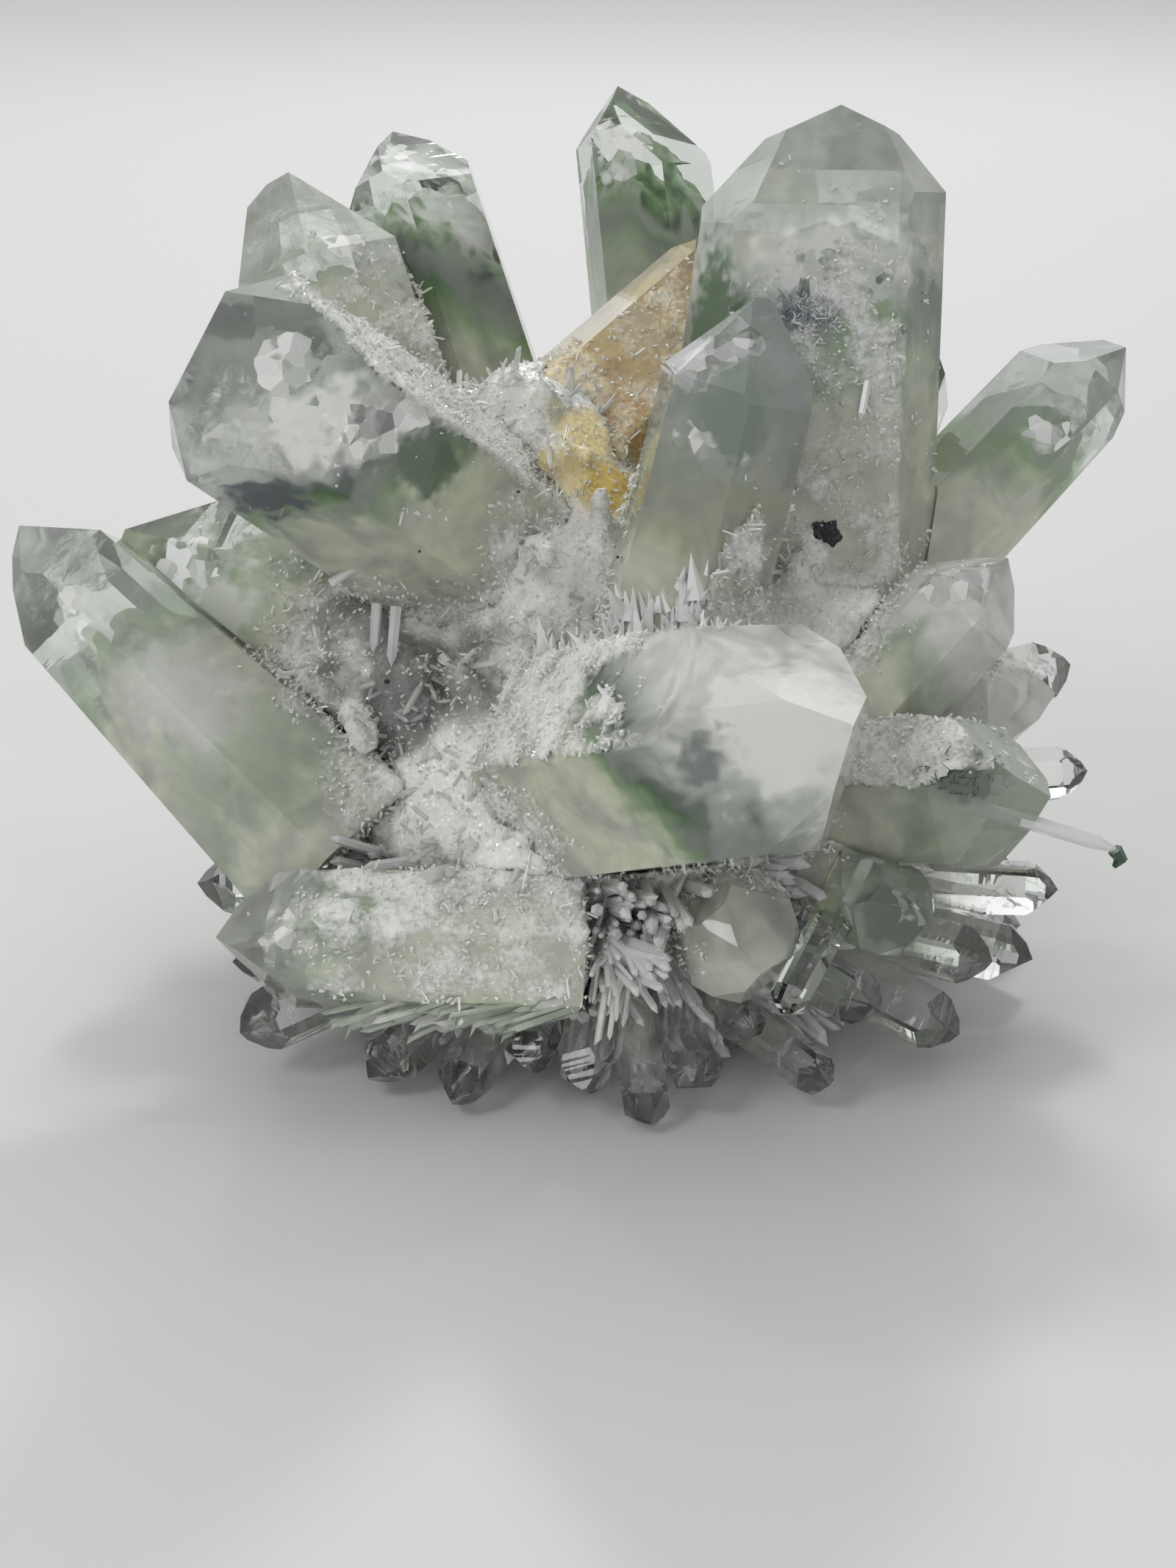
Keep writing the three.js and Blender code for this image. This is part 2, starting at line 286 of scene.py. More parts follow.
def glass(name, axis, tint=CLEAR_TINT, density=CLEAR_DENSITY, body=CLEAR_BODY,
          lines=GROWTH_LINES, etch=ETCHING):
    """Clear quartz with growth lines across its axis and a tint that deepens with thickness."""
    made, tree, shader = new_material(name)
    shader.inputs["Base Color"].default_value = body
    shader.inputs["Transmission Weight"].default_value = 1.0
    shader.inputs["IOR"].default_value = GLASS_IOR
    patch = node(tree, "ShaderNodeTexNoise", Scale=260.0, Detail=2.0)
    tree.links.new(node(tree, "ShaderNodeTexCoord").outputs["Object"], patch.inputs["Vector"])
    rough = ramp(tree, patch.outputs["Fac"], (0.45, grey(0.0)), (0.75, grey(etch)))
    tree.links.new(rough, shader.inputs["Roughness"])
    stripes = node(tree, "ShaderNodeTexNoise", Scale=1.0, Detail=1.0)
    tree.links.new(along_axis(tree, axis, GROWTH_SPACING), stripes.inputs["Vector"])
    relief = node(tree, "ShaderNodeBump", Strength=lines, Distance=GROWTH_RELIEF * MM)
    tree.links.new(stripes.outputs["Fac"], relief.inputs["Height"])
    tree.links.new(relief.outputs[0], shader.inputs["Normal"])
    depth = node(tree, "ShaderNodeVolumeAbsorption", Color=(*tint, 1), Density=density)
    tree.links.new(depth.outputs[0], tree.nodes["Material Output"].inputs["Volume"])
    return made


def refinish(name, material):
    """Gives a CAD node its better material."""
    slots = points[name].data.materials
    slots.clear()
    slots.append(material)


axes = {name: long_axis(point) for name, point in points.items() if name != "matrix"}
LARGE = [name for name in points if name != "matrix" and not name.startswith("foot_point")]
for name in LARGE:
    if name == "amber_point":
        refinish(name, glass("amber_glass", axes[name], AMBER_TINT, AMBER_DENSITY, AMBER_BODY))
    else:
        refinish(name, glass(name + "_glass", axes[name]))


# Inside most of the large points stands a phantom: the shape of the point when it was younger,
# dusted with green chlorite and then grown over by clear quartz. Below it the quartz is milky.
# Each zone has its depth below the end faces in mm, its colour, and how much it hides.
HAZE = (0.62, 0.69, 0.61)
SAGE = (0.44, 0.51, 0.43)
MILK = (0.75, 0.79, 0.61)
CLOUD = (0.97, 0.98, 0.93)
# This white serves the real breaks and also painted highlights, where a bright window would show through the
# quartz.
BREAK_AND_PAINTED_GLINT = (0.99, 0.99, 0.985)
GREEN = (0.21, 0.37, 0.14)
LEAF = (0.48, 0.59, 0.38)
OLIVE = (0.37, 0.42, 0.23)
SLATE = (0.165, 0.235, 0.19)
STONE = (0.72, 0.75, 0.62)
# A dark grey painted as shade into the hollows of the crust.
PAINTED_SHADE = (0.27, 0.275, 0.262)
MOSS = (0.05, 0.14, 0.04)
DARK = (0.022, 0.06, 0.03)
INK = (0.07, 0.09, 0.11)
WARM = (0.80, 0.76, 0.62)
OCHRE = (0.86, 0.64, 0.22)
ORANGE = (0.86, 0.40, 0.03)
ZONES = {
    "tall_point": [(0, SAGE, .8), (3, HAZE, .65), (6, CLOUD, .65), (9, SAGE, .7), (11, MOSS, .8),
                   (14, MOSS, .8), (17, LEAF, .8), (20, MILK, .9)],
    "front_point": [(0, CLOUD, .9), (7, CLOUD, .85), (10, HAZE, .7), (13, DARK, .8), (15.5, MOSS, .95),
                    (18.5, GREEN, .9), (21.5, MILK, .95)],
    "big_left_point": [(0, SLATE, .4), (3, HAZE, .15), (6, CLOUD, .5), (11, CLOUD, .6), (13.5, INK, .85),
                       (15.5, MOSS, .95), (18, GREEN, .9), (21, MILK, .95)],
    "far_left_point": [(0, SLATE, .35), (2.5, HAZE, .15), (6, HAZE, .15), (8.5, MOSS, .55), (11, GREEN, .6),
                       (14, MILK, .85), (20, MILK, .9), (30, LEAF, .6), (34, MILK, .9)],
    "hidden_left_point": [(0, HAZE, .1), (1.5, CLOUD, .1), (3, GREEN, .7), (6, LEAF, .7), (9, MILK, .9)],
    "upper_left_point": [(0, SAGE, .4), (2.5, CLOUD, .3), (6, WARM, .7), (12, MILK, .85)],
    "back_left_point": [(0, HAZE, .08), (6.5, CLOUD, .08), (8, GREEN, .8), (11, DARK, .95), (14, MOSS, .95),
                        (18, GREEN, .9), (23, MILK, .9)],
    "clear_point": [(0, HAZE, .04), (5.5, HAZE, .04), (7.5, GREEN, .8), (9.5, MOSS, .9), (12, GREEN, .9),
                    (16, LEAF, .85), (21, MILK, .9)],
    "amber_point": [(0, OCHRE, .45), (6, WARM, .5), (9, OCHRE, .65), (14, WARM, .65), (22, OCHRE, .75),
                    (25, ORANGE, .9)],
    "forward_point": [(0, SLATE, .75), (3, SLATE, .65), (6, SAGE, .6), (9, OLIVE, .75), (14, OLIVE, .85),
                      (19, MILK, .9)],
    "low_left_point": [(0, CLOUD, .3), (2, HAZE, .25), (4, GREEN, .5), (7, MILK, .8), (13, MILK, .95)],
    "right_point": [(0, SLATE, .4), (4, SAGE, .5), (7, SLATE, .5), (9.5, GREEN, .75), (14, GREEN, .8),
                    (17.5, MILK, .9)],
    "right_mid_point": [(0, CLOUD, .75), (6, CLOUD, .75), (9, LEAF, .6), (13, MILK, .9)],
    "right_block": [(0, GREEN, .4), (3, GREEN, .4), (6, MILK, .75), (16, MILK, .9)],
    "sugar_point": [(0, CLOUD, .85), (4, CLOUD, .9)],
    "pale_block": [(0, STONE, .8), (5, STONE, .9), (10, MILK, .9)],
    "dark_point": [(0, MOSS, .5), (3, GREEN, .6), (6, MILK, .85)],
    "rear_tall_point": [(0, HAZE, .15), (9, CLOUD, .1), (11, MOSS, .9), (16, GREEN, .8), (22, MILK, .9)],
    "rear_mid_point": [(0, HAZE, .2), (8, HAZE, .2), (10, MOSS, .9), (15, GREEN, .8), (20, MILK, .9)],
    "rear_left_point": [(0, HAZE, .3), (7, CLOUD, .3), (9, GREEN, .8), (14, GREEN, .8), (19, MILK, .9)],
    "rear_low_point": [(0, HAZE, .1), (8, CLOUD, .2), (14, MILK, .8)],
    "left_low_point": [(0, HAZE, .1), (9, CLOUD, .2), (12, GREEN, .5), (16, MILK, .9)],
}
# A few phantoms are crooked. The slope is how much deeper they lie per mm towards a side.
SLOPES = {
    "front_point": Vector((-0.4, -0.75, -0.8)),
    "big_left_point": Vector((0.3, -0.85, -0.55)),
    "right_point": Vector((0.2, -0.3, 0)),
    "back_left_point": Vector((-0.6, -0.5, 0)),
}
# Here and there a point has a cloud, a white break or a dark stain of its own. The white of the breaks also
# paints highlights, where a bright window would show through the quartz. Each row has its middle and half
# sizes in mm, its colour, and how much it hides.
STAINS_AND_GLINTS = {
    "tall_point": [((12.5, 5, 73), (4.5, 5, 7), MOSS, .85), ((23, 3, 77.5), (9, 3, 4.5), CLOUD, .8),
                   ((27.6, 2.2, 71.5), (4, 4, 4), GREEN, .8), ((21, 1.5, 66.5), (6, 4, 3), GREEN, .75),
                   ((24, 2.5, 76), (5, 3, 3), BREAK_AND_PAINTED_GLINT, .6)],
    "big_left_point": [((-25, -17.5, 66), (7.5, 6, 4.4), CLOUD, .97),
                       ((-20.5, -16, 65.5), (5.5, 5, 2.4), BREAK_AND_PAINTED_GLINT, 1.2),
                       ((-31.5, -18.5, 59), (4.2, 5, 2.6), INK, .95),
                       ((-29, -17.6, 71.3), (2.4, 3, 2.6), BREAK_AND_PAINTED_GLINT, .9),
                       ((-34, -19, 66), (2.2, 3, 1.6), BREAK_AND_PAINTED_GLINT, .6),
                       ((-16.5, -12.5, 60.5), (5, 4, 3.4), MOSS, .85)],
    "front_point": [((16.5, -45.5, 45.5), (8, 6, 7), CLOUD, .95), ((9, -43, 42), (3, 3, 3), DARK, .6)],
    "far_left_point": [((-52.8, -10, 44.8), (2.2, 3, 2.6), BREAK_AND_PAINTED_GLINT, .95),
                       ((-42.3, -15.1, 37.4), (7, 6, 6), CLOUD, .4)],
    "hidden_left_point": [((-40, -2, 43), (6, 5, 5), CLOUD, .7),
                          ((-43.2, -0.6, 46.6), (3.6, 3, 2.8), BREAK_AND_PAINTED_GLINT, 1.3)],
    "back_left_point": [((-22, 42.5, 82.5), (2.6, 3, 2.2), BREAK_AND_PAINTED_GLINT, .95),
                        ((-16.8, 39.5, 80.7), (2, 2, 3), BREAK_AND_PAINTED_GLINT, .7)],
    "clear_point": [((3.3, 44, 83.8), (2.6, 2.5, 3), BREAK_AND_PAINTED_GLINT, .8)],
    "upper_left_point": [((-26.5, 22, 76.5), (2.4, 2, 3), BREAK_AND_PAINTED_GLINT, .8), ((-30, 22, 72), (2, 3, 3), BREAK_AND_PAINTED_GLINT, .5)],
    "forward_point": [((8.9, -11, 69.8), (3, 3, 1.6), BREAK_AND_PAINTED_GLINT, .7),
                      ((12.7, -9.7, 71.9), (2.4, 3, 1.3), BREAK_AND_PAINTED_GLINT, .6),
                      ((10.4, -13.7, 63.5), (3.2, 2, 1.3), BREAK_AND_PAINTED_GLINT, .8),
                      ((13.5, -14, 66), (4, 4, 5), SLATE, .85)],
    "low_left_point": [((-28.7, -34, 20.5), (3, 3, 2.3), BREAK_AND_PAINTED_GLINT, .8),
                       ((-23.7, -31.4, 21.8), (2.5, 3, 2.5), GREEN, .8)],
    "right_point": [((47.9, 9.6, 58.2), (2.6, 3, 1.5), BREAK_AND_PAINTED_GLINT, .9), ((43, 9, 61), (3, 3, 2), SLATE, .6)],
    "right_mid_point": [((35.2, -9.5, 48.1), (4, 3, 2.6), BREAK_AND_PAINTED_GLINT, .97)],
    "right_block": [((35, -28.1, 34.1), (4.5, 3, 3.2), DARK, .8), ((42, -22, 36), (2.4, 2, 2.4), BREAK_AND_PAINTED_GLINT, .9)],
    "dark_point": [((28.6, -31, 20.6), (4, 3, 4), DARK, .8), ((31, -31, 23), (1.6, 2, 1.6), BREAK_AND_PAINTED_GLINT, .7)],
}
# Each white break and painted highlight is made of flat shards, each shard more or less white. A stain
# starts and is whole at these distances from its middle, as shares of its size, and the zones wander by so
# many mm.
BREAK_AND_GLINT_CELLS = 620
FAINTEST_SHARD = 0.2
STAIN_START = 1.25
STAIN_WHOLE = 0.6
BREAK_AND_GLINT_WHOLE = 0.95
STAIN_RAGGED = 3.2
ZONE_BEND = 9
ZONE_STREAKS = 7
STREAK_SPACING = (420, 420, 70)
LAST_ZONE = 4
MILKINESS = 0.8
PHANTOM_ROUGHNESS = 0.6
# The phantom inside, in mm: its voxels, its relief, and how far its foot lies inside the point's.
# Its skin is a share of half the point's width. It starts at the first zone that hides this much.
CORE_SKIN = 0.20
CORE_FOOT = 1.5
CORE_VOXEL = 1.1
CORE_RELIEF = 0.7
CORE_HIDES = 0.7
CORE_SHALLOWEST = 3
CORE_LUMPS = 420
CORE_FINE_LUMPS = 900
FLAT_WITHIN = 0.02


def outer_planes(point):
    """The flat faces of a point that bound it on the outside, as normals and distances."""
    corners = np.array([v.co for v in point.data.vertices])
    found = {}
    for face in point.data.polygons:
        normal = np.array(face.normal)
        distance = float(normal @ np.array(face.center))
        if (corners @ normal).max() < distance + FLAT_WITHIN * MM:
            found[tuple(np.round(normal, 2)) + (round(distance, 4),)] = (Vector(normal), distance)
    return list(found.values())


hulls = {name: outer_planes(points[name]) for name in axes}
middles = {name: sum((v.co for v in points[name].data.vertices), Vector()) / len(points[name].data.vertices)
           for name in axes}
# A face belongs to the end of a point, or to its foot, where it leans this far along the axis.
# A point's form is cut from a block that is larger than any of them.
END_LEAN = 0.35
FOOT_LEAN = -0.6
BLOCK_SIZE = 0.4


def shrunken(name, skin, back, foot):
    """A bmesh of a point's own form, moved in by skin at the sides, back at the end, foot below."""
    bm = bmesh.new()
    bmesh.ops.create_cube(bm, size=BLOCK_SIZE)
    for normal, distance in hulls[name]:
        lean = normal.dot(axes[name])
        inward = back * lean if lean > END_LEAN else foot if lean < FOOT_LEAN else skin
        cut = bmesh.ops.bisect_plane(
            bm, geom=bm.verts[:] + bm.edges[:] + bm.faces[:], dist=1e-7,
            plane_co=normal * (distance - inward * MM), plane_no=normal, clear_outer=True)
        rim = [e for e in cut["geom_cut"] if isinstance(e, bmesh.types.BMEdge)]
        if rim:
            bmesh.ops.contextual_create(bm, geom=rim)
    return bm


def remeshed(bm, name, voxel):
    """The closed form as an even mesh."""
    mesh = bpy.data.meshes.new(name)
    bmesh.ops.recalc_face_normals(bm, faces=bm.faces[:])
    bm.to_mesh(mesh)
    bm.free()
    piece = bpy.data.objects.new(name, mesh)
    bpy.context.scene.collection.objects.link(piece)
    fine = piece.modifiers.new("even", "REMESH")
    fine.mode = "VOXEL"
    fine.voxel_size = voxel * MM
    even = bpy.data.meshes.new_from_object(piece.evaluated_get(bpy.context.evaluated_depsgraph_get()))
    piece.modifiers.clear()
    piece.data = even
    return piece


def math_node(tree, operation, first, second):
    """One step of arithmetic on sockets or numbers."""
    made = node(tree, "ShaderNodeMath", operation=operation)
    for socket, value in zip(made.inputs, (first, second)):
        if isinstance(value, (int, float)):
            socket.default_value = value
        else:
            tree.links.new(value, socket)
    return made.outputs[0]


def below_end(tree, place, name):
    """How deep a place lies below the end faces of a point, along its axis, in mm."""
    axis = axes[name]
    slope = SLOPES.get(name, Vector())
    slope = slope - axis * slope.dot(axis)
    depth = None
    for normal, distance in hulls[name]:
        lean = normal.dot(axis)
        if lean < END_LEAN:
            continue
        dot = node(tree, "ShaderNodeVectorMath", operation="DOT_PRODUCT")
        tree.links.new(place, dot.inputs[0])
        dot.inputs[1].default_value = (slope - normal / lean) / MM
        start = (distance / lean - slope.dot(middles[name])) / MM
        under = math_node(tree, "ADD", dot.outputs["Value"], start)
        depth = math_node(tree, "MINIMUM", depth, under) if depth else under
    return depth


def mixed(tree, factor, first, second):
    """A colour between two, where the second may be a plain colour."""
    mix = node(tree, "ShaderNodeMix", data_type="RGBA")
    tree.links.new(factor, mix.inputs[0])
    tree.links.new(first, mix.inputs[6])
    mix.inputs[7].default_value = (*second, 1)
    return mix.outputs[2]


def stained(tree, place, waves, colour, cover, rows):
    """Lays ragged stains, painted highlights and painted shade over a colour and a cover. White breaks and
    painted highlights have flat-sided edges.
    """
    if any(row[2] is BREAK_AND_PAINTED_GLINT for row in rows):
        shards = node(tree, "ShaderNodeTexVoronoi", Scale=BREAK_AND_GLINT_CELLS)
        tree.links.new(place, shards.inputs["Vector"])
        glance = node(tree, "ShaderNodeSeparateColor")
        tree.links.new(shards.outputs["Color"], glance.inputs[0])
    for middle, size, tone, hides in rows:
        local = node(tree, "ShaderNodeMapping", vector_type="TEXTURE")
        tree.links.new(shards.outputs["Position"] if tone is BREAK_AND_PAINTED_GLINT else place, local.inputs["Vector"])
        local.inputs["Location"].default_value = Vector(middle) * MM
        local.inputs["Scale"].default_value = Vector(size) * MM
        reach = node(tree, "ShaderNodeVectorMath", operation="LENGTH")
        tree.links.new(local.outputs[0], reach.inputs[0])
        ragged = math_node(tree, "MULTIPLY", math_node(tree, "SUBTRACT", waves, 0.5), STAIN_RAGGED)
        spread = node(tree, "ShaderNodeMapRange", interpolation_type="SMOOTHSTEP")
        tree.links.new(math_node(tree, "ADD", reach.outputs["Value"], ragged), spread.inputs["Value"])
        spread.inputs["From Min"].default_value = STAIN_START
        spread.inputs["From Max"].default_value = BREAK_AND_GLINT_WHOLE if tone is BREAK_AND_PAINTED_GLINT else STAIN_WHOLE
        colour = mixed(tree, spread.outputs[0], colour, tone)
        if cover:
            if tone is BREAK_AND_PAINTED_GLINT:
                whiteness = math_node(tree, "ADD", glance.outputs["Red"], FAINTEST_SHARD)
                hides = math_node(tree, "MULTIPLY", whiteness, hides)
            more = math_node(tree, "SUBTRACT", hides, cover)
            cover = math_node(tree, "ADD", cover, math_node(tree, "MULTIPLY", spread.outputs[0], more))
    return colour, cover


def zoned(tree, name, seed):
    """Colour and cover of a point's zones: crooked bands, streaks along the axis, soft clouds."""
    place = node(tree, "ShaderNodeTexCoord").outputs["Object"]
    moved = node(tree, "ShaderNodeVectorMath", operation="ADD")
    tree.links.new(place, moved.inputs[0])
    moved.inputs[1].default_value = (seed, 0, 0)
    wisps = node(tree, "ShaderNodeTexNoise", Scale=140.0, Detail=2.5, Distortion=0.8)
    streaks = node(tree, "ShaderNodeTexNoise", Scale=1.0, Detail=1.5)
    fine = node(tree, "ShaderNodeTexNoise", Scale=520.0, Detail=1.5)
    tree.links.new(moved.outputs[0], wisps.inputs["Vector"])
    tree.links.new(along_axis(tree, axes[name], STREAK_SPACING), streaks.inputs["Vector"])
    tree.links.new(moved.outputs[0], fine.inputs["Vector"])
    bend = math_node(tree, "MULTIPLY", math_node(tree, "SUBTRACT", wisps.outputs["Fac"], 0.5), ZONE_BEND)
    run = math_node(tree, "MULTIPLY", math_node(tree, "SUBTRACT", streaks.outputs["Fac"], 0.5), ZONE_STREAKS)
    depth = math_node(tree, "ADD", math_node(tree, "ADD", below_end(tree, place, name), bend), run)
    rows = ZONES[name]
    last = rows[-1][0] + LAST_ZONE
    bands = node(tree, "ShaderNodeValToRGB")
    tree.links.new(math_node(tree, "DIVIDE", depth, last), bands.inputs[0])
    while len(bands.color_ramp.elements) < len(rows):
        bands.color_ramp.elements.new(1)
    for element, (start, colour, cover) in zip(bands.color_ramp.elements, rows):
        element.position = start / last
        element.color = (*colour, cover)
    mottle = ramp(tree, fine.outputs["Fac"], (0.35, grey(0.84)), (0.65, grey(1.0)))
    mix = node(tree, "ShaderNodeMix", data_type="RGBA", blend_type="MULTIPLY")
    mix.inputs[0].default_value = 1.0
    tree.links.new(bands.outputs["Color"], mix.inputs[6])
    tree.links.new(mottle, mix.inputs[7])
    torn = ramp(tree, wisps.outputs["Fac"], (0.36, grey(0.5)), (0.60, grey(1)))
    cover = math_node(tree, "MULTIPLY", bands.outputs["Alpha"], torn)
    both = math_node(tree, "ADD", wisps.outputs["Fac"], fine.outputs["Fac"])
    waves = math_node(tree, "MULTIPLY", both, 0.5)
    return stained(tree, place, waves, mix.outputs[2], cover, STAINS_AND_GLINTS.get(name, ()))


def phantom_finish(label, name, seed):
    """The matt dusting on a phantom and the milky quartz below it."""
    made, tree, shader = new_material(label)
    colour, cover = zoned(tree, name, seed)
    tree.links.new(colour, shader.inputs["Base Color"])
    shader.inputs["Roughness"].default_value = PHANTOM_ROUGHNESS
    return made


def cloud_glass(name, seed):
    """Lays the zones into a point's glass: where they hide much, the quartz is milky throughout."""
    tree = points[name].data.materials[0].node_tree
    shader = tree.nodes["Principled BSDF"]
    colour, cover = zoned(tree, name, seed)
    milk = math_node(tree, "MULTIPLY", cover, MILKINESS)
    mix = node(tree, "ShaderNodeMix", data_type="RGBA")
    mix.inputs[6].default_value = shader.inputs["Base Color"].default_value
    tree.links.new(cover, mix.inputs[0])
    tree.links.new(colour, mix.inputs[7])
    tree.links.new(mix.outputs[2], shader.inputs["Base Color"])
    tree.links.new(math_node(tree, "SUBTRACT", 1.0, milk), shader.inputs["Transmission Weight"])


def roughen(piece, height):
    """Moves each corner of a mesh along its normal by height(place), in mm."""
    mesh = piece.data
    places = [v.co.copy() for v in mesh.vertices]
    normals = [n.vector.copy() for n in mesh.vertex_normals]
    moved = [co + way * height(co) * MM for co, way in zip(places, normals)]
    mesh.vertices.foreach_set("co", np.array(moved, np.float32).ravel())
    mesh.shade_smooth()
    mesh.update()


def lumps(seed, size):
    """The relief of a layer inside a point."""
    def relief(co):
        broad = noise.noise(co * CORE_LUMPS + Vector((seed, 0, 0)))
        return size * (broad + 0.5 * noise.noise(co * CORE_FINE_LUMPS))
    return relief


def half_width(name):
    """The distance from the axis of a point to its nearest side, in mm."""
    sides = [distance - normal.dot(middles[name]) for normal, distance in hulls[name]
             if FOOT_LEAN < normal.dot(axes[name]) < END_LEAN]
    return min(sides) / MM


for seed, (name, rows) in enumerate(ZONES.items()):
    cloud_glass(name, seed)
    hiding = [start for start, colour, cover in rows if cover > CORE_HIDES and start > CORE_SHALLOWEST]
    skin = half_width(name) * CORE_SKIN
    piece = remeshed(shrunken(name, skin, hiding[0], CORE_FOOT), f"{name}_phantom", CORE_VOXEL)
    if not piece.data.vertices:
        bpy.data.objects.remove(piece)
        continue
    roughen(piece, lumps(seed, CORE_RELIEF))
    piece.data.materials.clear()
    piece.data.materials.append(phantom_finish(f"{name}_phantom_quartz", name, seed))
    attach(piece, "root")


# The matrix is the body that all the points grow from, with a crust of minute crystals.
# It is milky grey quartz, rough like sugar, and rests on the flat where it was broken off. Deep between the
# points its colour has painted shade, and it is stained yellow beside the amber one. Lengths are in mm.
CRUST_GREY = (0.66, 0.665, 0.64)
CRUST_WHITE = (0.90, 0.91, 0.87)
CRUST_VOXEL = 0.9
CRUST_RELIEF = 0.55
CRUST_FOOT = 2
CRUMB_SCALES = (500, 1100)
FINE_CRUMBS = 0.6
SUGAR_GRAIN = 0.32
FACET_LEAN = 0.55
HONEY = (0.92, 0.78, 0.44)
# The grey rows are painted shade deep in the hollow between the points; the honey and ochre rows are iron
# stain.
CRUST_STAINS_AND_SHADE = [
    ((-21.3, -9.9, 36), (8, 8, 10), PAINTED_SHADE, 1), ((-27, -9, 28), (7, 7, 7), PAINTED_SHADE, 1),
    ((-1, 2.5, 58), (5, 5, 6), HONEY, 1), ((0.8, 2.5, 55), (3, 3, 2.5), OCHRE, 1),
]


def sugary(name, low, high, rows=()):
    """A crust of minute crystals: each grain is a facet with its own lean."""
    made, tree, shader = new_material(name)
    place = node(tree, "ShaderNodeTexCoord").outputs["Object"]
    clouds = node(tree, "ShaderNodeTexNoise", Scale=120.0, Detail=5.0)
    tree.links.new(place, clouds.inputs["Vector"])
    colour = ramp(tree, clouds.outputs["Fac"], (0.35, low), (0.6, high))
    colour, _ = stained(tree, place, clouds.outputs["Fac"], colour, None, rows)
    tree.links.new(colour, shader.inputs["Base Color"])
    cells = node(tree, "ShaderNodeTexVoronoi", Scale=1 / (SUGAR_GRAIN * MM))
    tree.links.new(place, cells.inputs["Vector"])
    lean = node(tree, "ShaderNodeVectorMath", operation="SUBTRACT")
    tree.links.new(cells.outputs["Color"], lean.inputs[0])
    lean.inputs[1].default_value = (0.5, 0.5, 0.5)
    facet = node(tree, "ShaderNodeVectorMath", operation="MULTIPLY_ADD")
    tree.links.new(lean.outputs[0], facet.inputs[0])
    facet.inputs[1].default_value = (FACET_LEAN, FACET_LEAN, FACET_LEAN)
    tree.links.new(node(tree, "ShaderNodeNewGeometry").outputs["Normal"], facet.inputs[2])
    unit = node(tree, "ShaderNodeVectorMath", operation="NORMALIZE")
    tree.links.new(facet.outputs[0], unit.inputs[0])
    tree.links.new(unit.outputs[0], shader.inputs["Normal"])
    dulled = ramp(tree, cells.outputs["Distance"], (0.2, grey(0.12)), (0.7, grey(0.4)))
    tree.links.new(dulled, shader.inputs["Roughness"])
    return made, tree, shader


crust_finish, tree, shader = sugary("crust", CRUST_GREY, CRUST_WHITE, CRUST_STAINS_AND_SHADE)

bm = bmesh.new()
bm.from_mesh(points["matrix"].data)
bmesh.ops.remove_doubles(bm, verts=bm.verts[:], dist=0.001 * MM)
crust = remeshed(bm, "crust", CRUST_VOXEL)


def crumbs(co):
    """The relief of the crust, which fades out towards the flat underneath."""
    rough = noise.noise(co * CRUMB_SCALES[0]) + FINE_CRUMBS * noise.noise(co * CRUMB_SCALES[1])
    return rough * CRUST_RELIEF * min(1.0, co.z / (CRUST_FOOT * MM))


roughen(crust, crumbs)
crust.data.materials.clear()
crust.data.materials.append(crust_finish)
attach(crust, "root")
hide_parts("matrix")


# Needles of druse stand over the crust: six-sided, and most of them one to four millimetres long.
# They are clear to milky quartz, grown where they stand, and joined here into one mesh a kind.
# Between them lie minute grains. Lengths are in mm.
CRUST_TRIES = 30000
GRAIN_SHARE = 0.80
CRUST_THINNING = 3
GRAIN_SIDES = 4
NEEDLE_SIDES = 6
NEEDLE_SPOTS = -0.05
NEEDLE_SPOT_SCALE = 130
NEEDLE_SPOT_SEED = 4
GRAIN_LENGTH = (0.35, 0.8)
GRAIN_WIDTH = (0.22, 0.45)
NEEDLE_SHORTEST = 0.7
NEEDLE_SPREAD = 0.6
NEEDLE_LEAN = 0.6
NEEDLE_THINNEST = 0.20
NEEDLE_STOUTNESS = 0.11
SUNK = (0.2, 0.35)
NEEDLE_TAPER = 0.9
TIP_HEIGHT = 0.9
TIP_MOST = 0.5
CLEAR_OF_TABLE = 1.5
TIPS_ABOVE = 0.5
GLOSS = 0.02
SEED = 11


def needle_form(sides):
    """Corners and faces of a pointed prism of unit length and width, standing on Z = 0."""
    turns = [2 * math.pi * k / sides for k in range(sides)]
    ring = [(math.cos(turn) / 2, math.sin(turn) / 2) for turn in turns]
    corners = [(x, y, 0) for x, y in ring]
    corners += [(x * NEEDLE_TAPER, y * NEEDLE_TAPER, 1) for x, y in ring] + [(0, 0, 1)]
    faces = [tuple(reversed(range(sides)))]
    faces += [(k, (k + 1) % sides, sides + (k + 1) % sides, sides + k) for k in range(sides)]
    faces += [(sides + k, sides + (k + 1) % sides, 2 * sides) for k in range(sides)]
    return np.array(corners, float), faces


def surface_samples(piece, count, rng):
    """Points spread evenly over a mesh, with their normals."""
    mesh = piece.data
    mesh.calc_loop_triangles()
    corners = np.array([v.co for v in mesh.vertices])
    tris = np.array([t.vertices[:] for t in mesh.loop_triangles])
    a, b, c = (corners[tris[:, k]] for k in range(3))
    cross = np.cross(b - a, c - a)
    area = np.linalg.norm(cross, axis=1)
    pick = rng.choice(len(tris), count, p=area / area.sum())
    s, t = rng.random((2, count, 1))
    s, t = np.where(s + t > 1, 1 - s, s), np.where(s + t > 1, 1 - t, t)
    at = a[pick] + s * (b - a)[pick] + t * (c - a)[pick]
    return at, cross[pick] / area[pick, None]


def inside(at, name, margin):
    """Which places lie inside a point that is grown by a margin."""
    held = np.ones(len(at), bool)
    for normal, distance in hulls[name]:
        held &= at @ np.array(normal) < distance + margin
    return held


